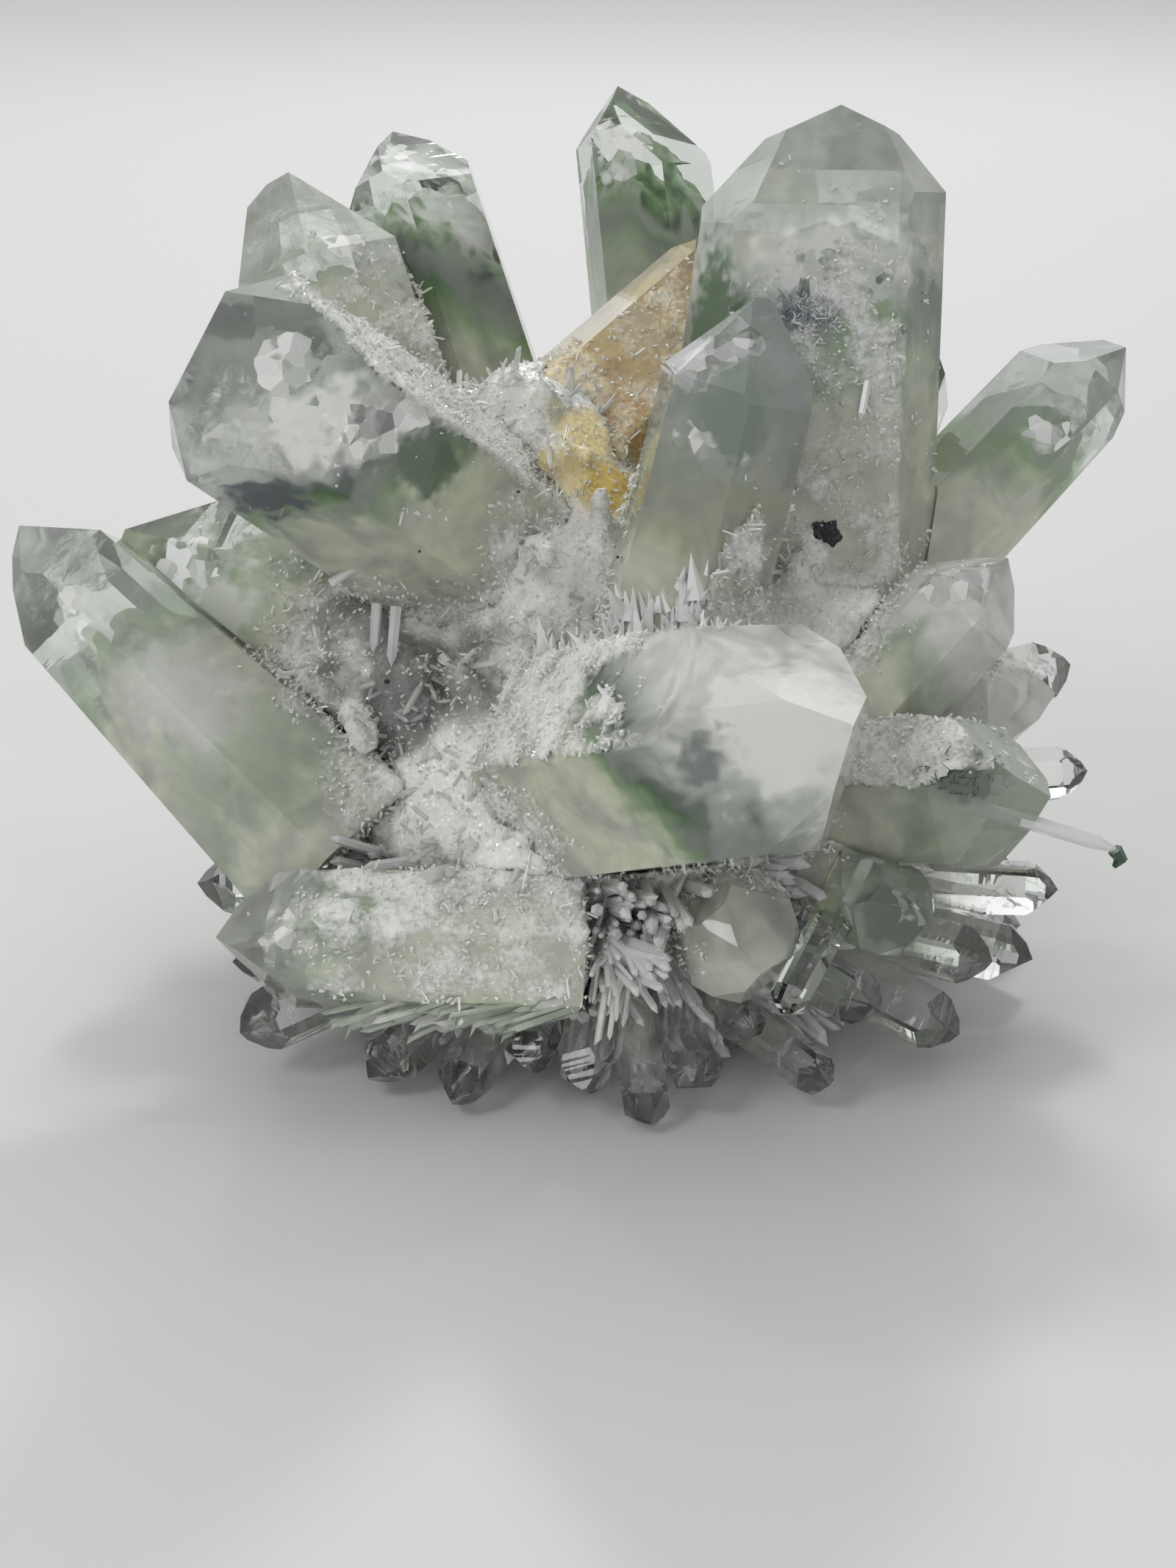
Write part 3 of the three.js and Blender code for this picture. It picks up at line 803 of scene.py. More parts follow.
def grow_needles(name, at, way, length, width, material, sides=6, skew=0.15, point=None):
    """One joined mesh of needles: their feet, directions, lengths and widths.

    The ends are a little askew, and take up the share point of the length, or else are blunt.
    """
    form, faces = needle_form(sides)
    pick = np.random.default_rng(len(at))
    aside = np.cross(way, pick.normal(size=way.shape))
    aside /= np.linalg.norm(aside, axis=1, keepdims=True)
    across = np.cross(way, aside)
    end = np.minimum(TIP_HEIGHT * width, TIP_MOST * length) if point is None else point * length
    rise = np.where(np.arange(len(form)) < sides, 0.0, 1.0)[None, :] * (length - end)[:, None]
    rise[:, -1] = length
    x = form[None, :, 0] * width[:, None]
    y = form[None, :, 1] * width[:, None]
    x[:, -1] += pick.normal(scale=skew, size=len(at)) * width
    y[:, -1] += pick.normal(scale=skew, size=len(at)) * width
    corners = at[:, None] + aside[:, None] * x[..., None] + across[:, None] * y[..., None]
    corners += way[:, None] * rise[..., None]
    step = len(form)
    every = [tuple(i * step + k for k in face) for i in range(len(at)) for face in faces]
    piece = mesh_piece(name, corners.reshape(-1, 3).tolist(), every, material)
    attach(piece, "root")
    return piece


def needle_glass(name, low, high, transmission, rough):
    """Small clear to milky quartz."""
    made, tree, shader = new_material(name)
    place = node(tree, "ShaderNodeTexCoord").outputs["Object"]
    patches = node(tree, "ShaderNodeTexNoise", Scale=300.0, Detail=2.0)
    tree.links.new(place, patches.inputs["Vector"])
    colour = ramp(tree, patches.outputs["Fac"], (0.4, low), (0.6, high))
    tree.links.new(colour, shader.inputs["Base Color"])
    frosted = ramp(tree, patches.outputs["Fac"], (0.4, grey(GLOSS)), (0.6, grey(rough)))
    tree.links.new(frosted, shader.inputs["Roughness"])
    shader.inputs["Transmission Weight"].default_value = transmission
    shader.inputs["IOR"].default_value = GLASS_IOR
    return made


def leaning(normal, rng, lean):
    """Directions that stray from the given ones."""
    way = normal + rng.normal(scale=lean, size=normal.shape)
    return way / np.linalg.norm(way, axis=1, keepdims=True)


def spots(at, scale, seed):
    """Smooth noise at each place, about -1 to 1."""
    return np.array([noise.noise(Vector(p) * scale + Vector((seed, 0, 0))) for p in at])


clear_needles = needle_glass("needle_quartz", (0.95, 0.96, 0.94), (0.99, 0.99, 0.98), 0.6, 0.10)
milky_grains = needle_glass("grain_quartz", (0.93, 0.94, 0.90), (0.99, 0.99, 0.97), 0.2, 0.15)

rng = np.random.default_rng(SEED)
at, normal = surface_samples(crust, CRUST_TRIES, rng)
free = at[:, 2] > CLEAR_OF_TABLE * MM
for name in LARGE:
    free &= ~inside(at, name, SUNK[0] * MM)
at, normal = at[free], normal[free]
fine = rng.random(len(at)) < GRAIN_SHARE
kept = fine | (spots(at, NEEDLE_SPOT_SCALE, NEEDLE_SPOT_SEED) > NEEDLE_SPOTS)
at, normal, fine = at[kept], normal[kept], fine[kept]
way = leaning(normal, rng, NEEDLE_LEAN)
short = rng.uniform(*GRAIN_LENGTH, len(at))
long = NEEDLE_SHORTEST + rng.gamma(2.0, NEEDLE_SPREAD, len(at))
length = np.where(fine, short, long) * MM
stout = NEEDLE_THINNEST + NEEDLE_STOUTNESS * length / MM
width = np.where(fine, rng.uniform(*GRAIN_WIDTH, len(at)), stout) * MM
foot = at - way * np.where(fine, *SUNK)[:, None] * MM
up = foot[:, 2] + way[:, 2] * length > TIPS_ABOVE * MM
foot, way, length, width, fine = foot[up], way[up], length[up], width[up], fine[up]
grains = fine & (np.arange(len(fine)) % CRUST_THINNING > 0)
for label, chosen, finish, sides in (
        ("grains", grains, milky_grains, GRAIN_SIDES), ("needles", ~fine, clear_needles, NEEDLE_SIDES)):
    grow_needles(
        f"crust_{label}", foot[chosen], way[chosen], length[chosen], width[chosen], finish, sides=sides)


# The druse also creeps up the large points from their roots, and lies in patches on their sides.
# It thins out at its edge. Each patch has the way it faces, where it starts and where it is whole,
# in mm below the tip, and how thick it gets. Its edges wander in broad and in fine waves.
CREEP = 5 * MM
BED_WAVES = (260, 700)
CREEP_WAVES = 0.8
PATCH_WAVES = 0.7
PATCH_WANDER = 5
PATCH_TURN = 0.6
PATCH_EDGE = 3
BED_CRUMBS = ((0.6, 900), (0.4, 1800))
BED_CLEAR = -0.4
GRAINS_CLEAR = 0.2
GRAINS_ABOVE = 2
GRAINS_BEYOND = 0.15
GRAINS_MOST = 0.9
BED_THICK = 0.6
BED_VOXEL = 0.75
BED_OUTSIDE = 0.1
BED_SUNK = 0.25
BED_EDGE = -0.1
GRAINS_PER_MM2 = 2.2
BED_GRAIN_LENGTH = (0.3, 0.7)
BED_GRAIN_WIDTH = (0.2, 0.42)
BED_GRAIN_LEAN = 0.7
BED_GRAIN_SUNK = 0.3
BED_THINNING = 8
LONG_SHARE = 0.06
LONG_GRAIN = 3
PATCHES = {
    "tall_point": ((0, -1, 0.1), 14, 34, 0.42),
    "big_left_point": ((0.72, 0.0, 0.7), 5, 12, 1.1),
    "upper_left_point": ((0.6, -0.2, 0.6), 15, 24, 0.6),
    "amber_point": ((0.1, -0.95, 0.3), 3, 30, 0.45),
    "front_point": ((-0.6, 0.1, 0.8), 19, 29, 0.9),
    "low_left_point": ((0, -0.7, 0.7), 8, 15, 1.0),
    "sugar_point": ((0, -0.3, 0.5), -4, 2, 0.8),
    "right_mid_point": ((0.2, 0.1, 0.9), 4, 9, 0.6),
    "right_block": ((-0.4, -0.2, 0.9), 2, 7, 0.9),
    "forward_point": ((0.9, -0.4, 0), 18, 32, 0.6),
}


def surface_of(*pieces):
    """A tree for finding the nearest place on some meshes."""
    corners, faces = [], []
    for piece in pieces:
        start = len(corners)
        corners += [v.co for v in piece.data.vertices]
        faces += [[v + start for v in f.vertices] for f in piece.data.polygons]
    return BVHTree.FromPolygons(corners, faces)


def trimmed(faces):
    """The corners that some faces use, and the faces with their corners numbered anew."""
    used = sorted({v for face in faces for v in face})
    index = {v: k for k, v in enumerate(used)}
    return used, [[index[v] for v in face] for face in faces]


surface = surface_of(crust)


def thinning(name, low, high):
    """Sugar that thins out to nothing where its cover runs low."""
    made, tree, shader = sugary(name, low, high)
    cover = node(tree, "ShaderNodeAttribute", attribute_name="cover")
    specks = node(tree, "ShaderNodeTexNoise", Scale=1500.0, Detail=2.0)
    tree.links.new(node(tree, "ShaderNodeTexCoord").outputs["Object"], specks.inputs["Vector"])
    speckle = math_node(tree, "SUBTRACT", specks.outputs["Fac"], 0.5)
    level = math_node(tree, "ADD", cover.outputs["Fac"], speckle)
    tree.links.new(ramp(tree, level, (0.10, grey(0)), (1.0, grey(0.9))), shader.inputs["Alpha"])
    return made


sugar_finish = thinning("sugar", (0.80, 0.82, 0.75), (0.97, 0.975, 0.95))
amber_sugar = thinning("amber_sugar", (0.86, 0.68, 0.32), (0.95, 0.90, 0.74))


def druse_cover(name, at, normal, seed):
    """How thickly the druse lies at each place on a point, from below 0 to 1 and over."""
    axis = np.array(axes[name])
    tip = max(v.co.dot(axes[name]) for v in points[name].data.vertices)
    wave = spots(at, BED_WAVES[0], seed) + 0.5 * spots(at, BED_WAVES[1], seed)
    near = np.array([surface.find_nearest(Vector(p))[3] for p in at])
    cover = 1.0 - near / CREEP + CREEP_WAVES * wave
    if name in PATCHES:
        facing, start, full, most = PATCHES[name]
        depth = (tip - at @ axis) / MM
        grown = np.clip((depth + PATCH_WANDER * wave - start) / (full - start), -1, most)
        turned = normal @ np.array(Vector(facing).normalized())
        patch = np.minimum(grown, PATCH_EDGE * (turned - PATCH_TURN)) + PATCH_WAVES * wave
        cover = np.maximum(cover, patch)
    return cover


for seed, name in enumerate(LARGE):
    bed = remeshed(shrunken(name, -BED_OUTSIDE, -BED_OUTSIDE, 0), f"{name}_sugar", BED_VOXEL)
    mesh = bed.data
    at = np.array([v.co for v in mesh.vertices])
    normal = np.array([n.vector for n in mesh.vertex_normals])
    cover = druse_cover(name, at, normal, seed)
    cover[at[:, 2] < CLEAR_OF_TABLE * MM] = -1
    for other in LARGE:
        if other != name:
            cover[inside(at, other, BED_CLEAR * MM)] = -1
    crumbs = np.ones(len(at))
    for share, scale in BED_CRUMBS:
        crumbs += share * spots(at, scale, seed)
    lift = BED_THICK * np.clip(cover, 0, 1) ** 0.5 * crumbs - BED_SUNK
    raised = at + normal * lift[:, None] * MM
    kept = [f.vertices[:] for f in mesh.polygons if (cover[list(f.vertices)] > BED_EDGE).all()]
    bpy.data.objects.remove(bed)
    if not kept:
        continue
    used, kept = trimmed(kept)
    finish = amber_sugar if name == "amber_point" else sugar_finish
    bed = mesh_piece(f"{name}_sugar", raised[used].tolist(), kept, finish, True)
    thickness = bed.data.attributes.new("cover", "FLOAT", "POINT")
    thickness.data.foreach_set("value", cover[used].astype(np.float32))
    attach(bed, "root")
    area = sum(f.area for f in points[name].data.polygons) / MM ** 2
    at, normal = surface_samples(points[name], int(area * GRAINS_PER_MM2), rng)
    cover = druse_cover(name, at, normal, seed)
    chance = np.clip(cover + GRAINS_BEYOND, 0, GRAINS_MOST)
    grown = (rng.random(len(at)) < chance) & (at[:, 2] > GRAINS_ABOVE * MM)
    for other in LARGE:
        if other != name:
            grown &= ~inside(at, other, GRAINS_CLEAR * MM)
    at, normal, cover = at[grown], normal[grown], cover[grown]
    way = leaning(normal, rng, BED_GRAIN_LEAN)
    length = rng.uniform(*BED_GRAIN_LENGTH, len(at)) * MM
    width = rng.uniform(*BED_GRAIN_WIDTH, len(at)) * MM
    length[rng.random(len(at)) < LONG_SHARE] *= LONG_GRAIN
    rise = BED_THICK * np.clip(cover, 0, 1)[:, None] ** 0.5 * MM
    foot = at + normal * rise - way * BED_GRAIN_SUNK * MM
    kept = np.arange(len(at)) % BED_THINNING > 0
    if kept.any():
        grow_needles(
            f"{name}_druse", foot[kept], way[kept], length[kept], width[kept], milky_grains,
            sides=GRAIN_SIDES)


# Round the foot the quartz grew as short clear points, glossy and almost free of green.
# They stick out sideways from the matrix, and only their buried roots are milky.
FOOT_TINT = (0.93, 0.96, 0.95)
FOOT_DENSITY = 12
FOOT_LINES = 0.3
FOOT_ETCHING = 0.02
FOOT_ZONES = [(0, CLOUD, 0), (5, CLOUD, .08), (9, MILK, .45), (13, CLOUD, .8)]
for seed, name in enumerate(name for name in axes if name.startswith("foot_point")):
    ZONES[name] = FOOT_ZONES
    finish = glass(name + "_glass", axes[name], FOOT_TINT, FOOT_DENSITY, lines=FOOT_LINES, etch=FOOT_ETCHING)
    refinish(name, finish)
    cloud_glass(name, seed)


# Between them stand smaller clear points of the same kind, close together like the spines of a burr.
# Neighbours lean the same way, so they stand in sprays. Lengths are in mm.
SPRAY_TRIES = 30000
SPRAY_TOP = 22
SPRAY_MIDDLE = np.array((0, 3, 14)) * MM
SPRAY_LENGTH = (2.5, 10.5)
SPRAY_SLENDERNESS = (0.09, 0.17)
SPRAY_LEAN = 0.9
SPRAY_SCALE = 210.0
SPRAY_STRAY = 0.1
SPRAY_FACING = 0.3
SPRAY_TIPS_CLEAR = 0.3
SPRAY_FEET_CLEAR = -0.5


def bundled(at, scale, seeds):
    """Leans that change slowly from place to place, so that neighbours lean together."""
    return np.stack([spots(at, scale, seed) for seed in seeds], axis=1)


at, normal = surface_samples(crust, SPRAY_TRIES, rng)
out = at - SPRAY_MIDDLE
out /= np.linalg.norm(out, axis=1, keepdims=True)
low = (at[:, 2] > CLEAR_OF_TABLE * MM) & (at[:, 2] < SPRAY_TOP * MM)
low &= (normal * out).sum(1) > SPRAY_FACING
at, out = at[low], out[low]
way = leaning(out + SPRAY_LEAN * bundled(at, SPRAY_SCALE, (20, 30, 40)), rng, SPRAY_STRAY)
length = rng.uniform(*SPRAY_LENGTH, len(at)) * MM
width = rng.uniform(*SPRAY_SLENDERNESS, len(at)) * length
tip = at + way * length[:, None]
free = tip[:, 2] > CLEAR_OF_TABLE * MM
for name in axes:
    free &= ~inside(tip, name, SPRAY_TIPS_CLEAR * MM)
for name in LARGE:
    free &= ~inside(at, name, SPRAY_FEET_CLEAR * MM)
spray_glass = needle_glass("spray_quartz", (0.95, 0.97, 0.96), (0.99, 0.99, 0.99), 0.4, 0.03)
foot = at - way * MM
grow_needles("foot_sprays", foot[free], way[free], length[free], width[free], spray_glass)


# In the gap under the front point a bundle of thin prisms fills the hollow beside the low left point.
# They are greenish clear quartz, grown on the matrix, and hang down and to the left.
HOLLOW_TRIES = 9000
HOLLOW_MIDDLE = 1
HOLLOW_HALF = 8
HOLLOW_BACK = -12
HOLLOW_HEIGHTS = (7, 27)
HOLLOW_WAY = np.array((-0.3, -0.45, -0.85))
HOLLOW_LEAN = 0.55
HOLLOW_SCALE = 260.0
HOLLOW_STRAY = 0.12
HOLLOW_TIPS_CLEAR = 0.5
HOLLOW_LENGTH = (3, 8)
HOLLOW_SLENDERNESS = (0.06, 0.11)
at, normal = surface_samples(crust, HOLLOW_TRIES, rng)
hollow = (np.abs(at[:, 0] - HOLLOW_MIDDLE * MM) < HOLLOW_HALF * MM) & (at[:, 1] < HOLLOW_BACK * MM)
hollow &= (at[:, 2] > HOLLOW_HEIGHTS[0] * MM) & (at[:, 2] < HOLLOW_HEIGHTS[1] * MM)
at = at[hollow]
lean = HOLLOW_LEAN * bundled(at, HOLLOW_SCALE, (50, 60, 70))
way = leaning(HOLLOW_WAY + lean, rng, HOLLOW_STRAY)
length = rng.uniform(*HOLLOW_LENGTH, len(at)) * MM
width = rng.uniform(*HOLLOW_SLENDERNESS, len(at)) * length
tip = at + way * length[:, None]
free = ~inside(at, "low_left_point", 0)
for name in ("front_point", "pale_block"):
    free &= ~inside(tip, name, HOLLOW_TIPS_CLEAR * MM)
hollow_glass = needle_glass("hollow_quartz", (0.84, 0.88, 0.81), (0.95, 0.96, 0.93), 0.4, 0.05)
grow_needles("hollow_prisms", at[free], way[free], length[free], width[free], hollow_glass)


# Thin blades lie along the underside of the low left point, like the barbs of a feather.
# They are pale green quartz that grew against the point's lower faces.
BLADE_TRIES = 900
BLADES_FROM = -21
BLADES_TOP = 12.5
BLADE_WAY = np.array((-1.0, -0.1, -0.12))
BLADE_SPLAY = 0.16
BLADE_LENGTH = (2.5, 8)
BLADE_WIDTH = (0.5, 1.3)
BLADE_SKEW = 0.6
BLADE_STRAY = 0.07
BLADE_SIDES = 5
BLADES_FACING = -0.1
BLADES_SUNK = 0.3
at, normal = surface_samples(points["low_left_point"], BLADE_TRIES, rng)
under = (at[:, 0] > BLADES_FROM * MM) & (at[:, 2] < BLADES_TOP * MM) & (normal[:, 1] < BLADES_FACING)
at, normal = at[under], normal[under]
way = leaning(BLADE_WAY + BLADE_SPLAY * normal, rng, BLADE_STRAY)
length = rng.uniform(*BLADE_LENGTH, len(at)) * MM
width = rng.uniform(*BLADE_WIDTH, len(at)) * MM
blade_glass = needle_glass("blade_quartz", (0.62, 0.70, 0.58), (0.90, 0.92, 0.86), 0.45, 0.05)
foot = at - normal * BLADES_SUNK * MM
grow_needles(
    "low_left_blades", foot, way, length, width, blade_glass, BLADE_SIDES, BLADE_SKEW)


# Cracks inside the clear ends of the points: thin curved sheets of air, white where they catch the
# light. Each row has how many, and the depths below the end, in mm, that they lie between.
VEILS = {
    "tall_point": (8, 5, 24), "front_point": (7, 3, 22), "big_left_point": (9, 3, 20),
    "forward_point": (14, 2, 17), "upper_left_point": (5, 4, 20), "back_left_point": (2, 3, 8),
    "low_left_point": (4, 3, 10), "right_point": (4, 3, 12), "far_left_point": (4, 6, 15),
    "hidden_left_point": (3, 4, 11), "right_mid_point": (3, 2, 8), "right_block": (3, 2, 8),
    "rear_tall_point": (3, 3, 10), "rear_mid_point": (2, 3, 9), "rear_left_point": (3, 2, 9),
    "clear_point": (1, 4, 6), "dark_point": (2, 2, 5),
}
VEIL_RINGS = 8
VEIL_SPOKES = 26
VEIL_RADIUS = (0.35, 0.85)
VEIL_ASIDE = 0.28
VEIL_BEND = 0.06
VEIL_INSIDE = 0.5
VEIL_UPRIGHT = 0.9
VEIL_LOBES = 0.3
VEIL_SCALLOPS = 0.12
VEIL_RIPPLES = ((0.7, 300), (0.3, 800))
FOOT_VEILS = (3, 1, 8)

veil_finish, tree, shader = new_material("crack_white")
place = node(tree, "ShaderNodeTexCoord").outputs["Object"]
fray = node(tree, "ShaderNodeTexNoise", Scale=330.0, Detail=6.0, Roughness=0.65, Distortion=1.2)
tree.links.new(place, fray.inputs["Vector"])
holes = ramp(tree, fray.outputs["Fac"], (0.46, grey(0.03)), (0.66, grey(0.9)))
tree.links.new(holes, shader.inputs["Alpha"])
tones = ramp(tree, fray.outputs["Fac"], (0.4, (0.80, 0.85, 0.80)), (0.7, (0.98, 0.99, 0.98)))
tree.links.new(tones, shader.inputs["Base Color"])
shader.inputs["Roughness"].default_value = 0.2

tops = {name: max(v.co.dot(axes[name]) for v in points[name].data.vertices) for name in axes}


def inner_place(name, depth):
    """The place on a point's middle line at a depth in mm below its end."""
    axis, middle = axes[name], middles[name]
    return middle + axis * (tops[name] - depth * MM - middle.dot(axis))


def crack_sheets(name, count, first, last):
    """Corners and faces of the cracks in a point, cut off where they would leave it."""
    verts, faces = [], []
    for k in range(count):
        radius = half_width(name) * rng.uniform(*VEIL_RADIUS) * MM
        aside = Vector(rng.normal(size=3)) * half_width(name) * VEIL_ASIDE * MM
        centre = inner_place(name, rng.uniform(first, last)) + aside
        up = (axes[name] * rng.uniform(0.0, VEIL_UPRIGHT) + Vector(rng.normal(size=3))).normalized()
        side = up.orthogonal().normalized()
        across = up.cross(side)
        bend = rng.uniform(-VEIL_BEND, VEIL_BEND)
        start = len(verts)
        for ring in range(VEIL_RINGS + 1):
            for spoke in range(VEIL_SPOKES):
                turn = 2 * math.pi * spoke / VEIL_SPOKES
                lobes = 1 + VEIL_LOBES * math.sin(2 * turn + k) + VEIL_SCALLOPS * math.sin(5 * turn)
                out = radius * ring / VEIL_RINGS * lobes
                flat = centre + (side * math.cos(turn) + across * math.sin(turn)) * out
                lift = bend * (out / MM) ** 2
                for share, scale in VEIL_RIPPLES:
                    lift += share * noise.noise(flat * scale)
                verts.append(flat + up * lift * MM)
        for ring in range(VEIL_RINGS):
            for spoke in range(VEIL_SPOKES):
                a = start + ring * VEIL_SPOKES + spoke
                b = start + ring * VEIL_SPOKES + (spoke + 1) % VEIL_SPOKES
                faces.append((a, b, b + VEIL_SPOKES, a + VEIL_SPOKES))
    held = inside(np.array(verts), name, -VEIL_INSIDE * MM)
    used, faces = trimmed([face for face in faces if held[list(face)].all()])
    return [verts[v] for v in used], faces


def crack_piece(name, verts, faces, slot):
    """The cracks as one piece of the scene."""
    cracks = mesh_piece(name, verts, faces, veil_finish, True)
    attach(cracks, "root")


for name, (count, first, last) in VEILS.items():
    crack_piece(f"{name}_cracks", *crack_sheets(name, count, first, last), "phantom_quartz")
verts, faces = [], []
for name in axes:
    if name.startswith("foot_point"):
        more, sides = crack_sheets(name, *FOOT_VEILS)
        faces += [[v + len(verts) for v in face] for face in sides]
        verts += more
crack_piece("foot_cracks", verts, faces, "clear_quartz")


# Felted needles grew on a few points and were caught under their skin: some are of darker
# minerals, and some are white like frost. Each row has its middle and half sizes in mm, how many
# needles, and their finish.
FELT_LENGTH = (0.4, 1.3)
FELT_WIDTH = (0.07, 0.15)
FELT_FLATNESS = 0.35
FELT_SIDES = 3
ink = needle_glass("ink_needles", (0.20, 0.225, 0.27), (0.52, 0.55, 0.60), 0.0, 0.35)
icy_felt = needle_glass("frost_needles", (0.86, 0.88, 0.88), (0.98, 0.98, 0.98), 0.0, 0.35)
moss = needle_glass("moss_needles", (0.02, 0.06, 0.03), (0.10, 0.20, 0.09), 0.0, 0.35)
FELTS = {
    "tall_point_ink": ((21.5, 2.6, 71.9), (4.4, 0.8, 3.2), 1300, ink),
    "tall_point_frost": ((22.8, 2.2, 70.6), (5.2, 0.7, 4.8), 420, icy_felt),
    "big_left_point_ink": ((-31.6, -16.6, 58.8), (3.6, 1.0, 1.6), 700, ink),
    "big_left_point_frost": ((-27.5, -17.8, 63.0), (5.0, 1.0, 2.6), 420, icy_felt),
    "far_left_point_moss": ((-50.0, -10.3, 34.6), (0.8, 0.6, 2.4), 110, moss),
    "right_block_moss": ((35.2, -26.4, 33.4), (4.6, 2.4, 2.8), 380, moss),
}
for name, (middle, size, count, finish) in FELTS.items():
    spread = rng.normal(size=(count, 3))
    spread *= (rng.random((count, 1)) ** 0.5) / np.linalg.norm(spread, axis=1, keepdims=True)
    at = (np.array(middle) + spread * np.array(size)) * MM
    way = leaning(np.zeros((count, 3)), rng, 1.0)
    way[:, 1] *= FELT_FLATNESS
    way /= np.linalg.norm(way, axis=1, keepdims=True)
    length = rng.uniform(*FELT_LENGTH, count) * MM
    width = rng.uniform(*FELT_WIDTH, count) * MM
    grow_needles(name, at, way, length, width, finish, sides=FELT_SIDES)


# A ridge of white spikes stands along the top of the front point, where it leaves the crust.
# They are sharp four-sided needles of milky quartz. The ridge follows a line, in mm, and each spike
# grows from the nearest surface.
RIDGE = np.array([(-6, -13.5, 42), (3.5, -16.5, 45.5), (13, -17.5, 47)])
RIDGE_SPIKES = 150
RIDGE_WIDTH = 1.3
RIDGE_WAY = (0.0, -0.25, 1.0)
SPIKE_SHORTEST = 1.1
SPIKE_SPREAD = 0.6
SPIKE_SLENDERNESS = (0.35, 0.6)
SPIKE_SHARPNESS = 0.92
SPIKE_STRAY = 0.35
SPIKE_SIDES = 4
SPIKES_SUNK = 0.4
front_surface = surface_of(points["front_point"], points["forward_point"])
run = rng.random(RIDGE_SPIKES) * (len(RIDGE) - 1)
leg = run.astype(int)
at = RIDGE[leg] + (RIDGE[leg + 1] - RIDGE[leg]) * (run - leg)[:, None]
at += rng.normal(scale=RIDGE_WIDTH, size=(RIDGE_SPIKES, 3))
feet = []
for place in at:
    near = [near_surface.find_nearest(Vector(place) * MM) for near_surface in (surface, front_surface)]
    feet.append(min(near, key=lambda hit: hit[3])[0])
way = leaning(np.tile(RIDGE_WAY, (RIDGE_SPIKES, 1)), rng, SPIKE_STRAY)
length = (SPIKE_SHORTEST + rng.gamma(2.0, SPIKE_SPREAD, RIDGE_SPIKES)) * MM
width = rng.uniform(*SPIKE_SLENDERNESS, RIDGE_SPIKES) * length
icy = needle_glass("icy_quartz", (0.94, 0.96, 0.95), (0.99, 0.99, 0.99), 0.15, 0.08)
foot = np.array(feet) - way * SPIKES_SUNK * MM
grow_needles(
    "front_ridge_spikes", foot, way, length, width, icy, sides=SPIKE_SIDES, point=SPIKE_SHARPNESS)


# Single slender prisms lie over the druse, each clear and a few millimetres long.
# Each row has its foot, its tip and its width in mm.
PRISMS = [
    ((-27.0, -9.6, 47.7), (-23.0, -9.2, 50.1), 0.9), ((-20.6, -7.2, 44.5), (-21.2, -9.2, 38.6), 1.3),
    ((-22.6, -7.2, 44.8), (-22.9, -9.0, 40.0), 1.1), ((27.5, 0.6, 66.0), (26.7, -0.9, 62.2), 0.9),
    ((9.0, -9.0, 67.4), (6.0, -8.4, 69.6), 0.5), ((9.9, -9.4, 67.6), (7.0, -8.8, 69.9), 0.5),
    ((-16.0, -9.5, 40.0), (-12.5, -12.0, 37.0), 1.0), ((-24.0, -10.5, 30.0), (-20.0, -13.5, 27.5), 1.1),
    ((-7.0, -5.5, 50.0), (-4.5, -8.0, 52.5), 0.7),
]
foot, tip = (np.array([row[k] for row in PRISMS]) * MM for k in (0, 1))
length = np.linalg.norm(tip - foot, axis=1)
width = np.array([row[2] for row in PRISMS]) * MM
way = (tip - foot) / length[:, None]
grow_needles("single_prisms", foot, way, length, width, spray_glass)


# One thin crystal at the right grew bent, like a hook, and its end is green.
# It is clear quartz, rooted in the block beside it. The line it follows is in mm.
HOOK = [(34.5, -27.0, 31.2), (42.0, -27.4, 29.0), (48.4, -27.3, 26.9),
        (50.3, -27.2, 26.1), (51.0, -27.1, 25.0), (50.4, -27.1, 24.2)]
HOOK_BEND = 3
HOOK_WIDTH = 1.7
HOOK_END_WIDTH = 0.86 * HOOK_WIDTH
HOOK_TAPER = 0.06
HOOK_TIP = 0.35


def bent_prism(name, line, width, material):
    """A six-sided prism that follows a line and ends in a point."""
    verts, faces = [], []
    line = [Vector(place) * MM for place in line]
    for k, place in enumerate(line):
        way = (line[min(k + 1, len(line) - 1)] - line[max(k - 1, 0)]).normalized()
        side = way.cross(Vector((0, 1, 0))).normalized()
        across = way.cross(side)
        size = width / 2 * MM * (HOOK_TIP if k == len(line) - 1 else 1 - HOOK_TAPER * k)
        for corner in range(6):
            turn = math.pi * corner / 3
            verts.append(place + (side * math.cos(turn) + across * math.sin(turn)) * size)
    for k in range(len(line) - 1):
        for corner in range(6):
            a, b = 6 * k + corner, 6 * k + (corner + 1) % 6
            faces.append((a, b, b + 6, a + 6))
    faces += [tuple(range(6)), tuple(reversed(range(len(verts) - 6, len(verts))))]
    piece = mesh_piece(name, verts, faces, material)
    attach(piece, "root")


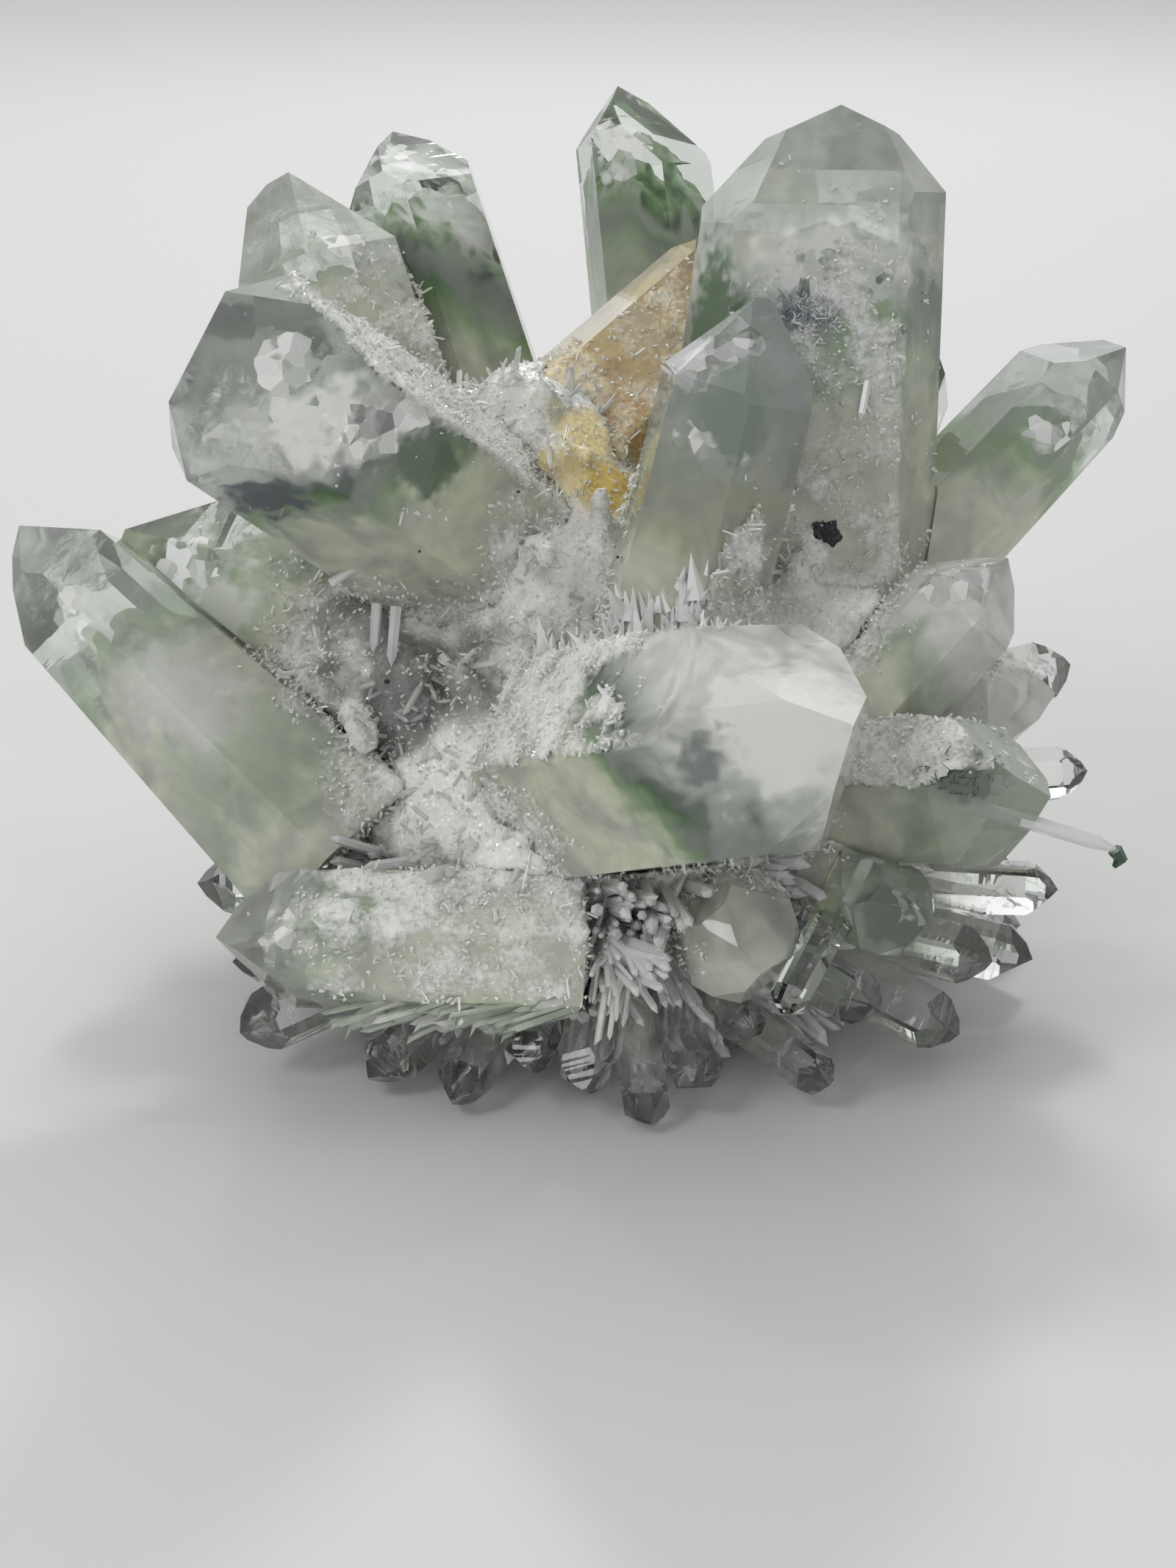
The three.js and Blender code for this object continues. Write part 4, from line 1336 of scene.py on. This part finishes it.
green_end = needle_glass("green_quartz", (0.05, 0.12, 0.07), (0.16, 0.27, 0.15), 0.4, 0.2)
bent_prism("hook_crystal", HOOK[:HOOK_BEND + 1], HOOK_WIDTH, spray_glass)
bent_prism("hook_end", HOOK[HOOK_BEND:], HOOK_END_WIDTH, green_end)


# A black speck of ore sits on the front of the tall point, with a few crumbs of it elsewhere.
# Each is a flat crumpled grain stuck to the crystals, with its place in mm and its share of the size.
SPECK_SIZE = 1.25
SPECK_CRUMPLE = 0.9
SPECK_CRUMBS = 1400
SPECK_FLATNESS = 0.45
SPECKS = [((23.5, -1.5, 50.6), 1.0), ((24.3, -1.6, 50.0), 0.6), ((22.7, -1.5, 51.2), 0.5),
          ((21.5, -1.4, 47.0), 0.13), ((-8.0, -7.0, 56.5), 0.15), ((-21.5, -10.5, 37.5), 0.16),
          ((-12.6, -8.6, 52.0), 0.12), ((2.0, -8.0, 50.0), 0.12), ((-17.6, -13.9, 52.3), 0.11)]
ore, tree, shader = new_material("black_ore")
flecks = node(tree, "ShaderNodeTexNoise", Scale=2500.0, Detail=3.0)
tree.links.new(node(tree, "ShaderNodeTexCoord").outputs["Object"], flecks.inputs["Vector"])
blacks = ramp(tree, flecks.outputs["Fac"], (0.4, (0.008, 0.009, 0.012)), (0.65, (0.05, 0.055, 0.07)))
tree.links.new(blacks, shader.inputs["Base Color"])
dulled = ramp(tree, flecks.outputs["Fac"], (0.4, grey(0.25)), (0.65, grey(0.7)))
tree.links.new(dulled, shader.inputs["Roughness"])
bm = bmesh.new()
for place, size in SPECKS:
    grain = bmesh.ops.create_icosphere(bm, subdivisions=3, radius=size * SPECK_SIZE * MM)["verts"]
    for v in grain:
        v.co = v.co * (1 + SPECK_CRUMPLE * noise.noise(v.co * SPECK_CRUMBS + Vector(place)))
        v.co.y *= SPECK_FLATNESS
        v.co += Vector(place) * MM
mesh = bpy.data.meshes.new("black_specks")
bm.to_mesh(mesh)
bm.free()
mesh.materials.append(ore)
specks = bpy.data.objects.new("black_specks", mesh)
bpy.context.scene.collection.objects.link(specks)
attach(specks, "root")
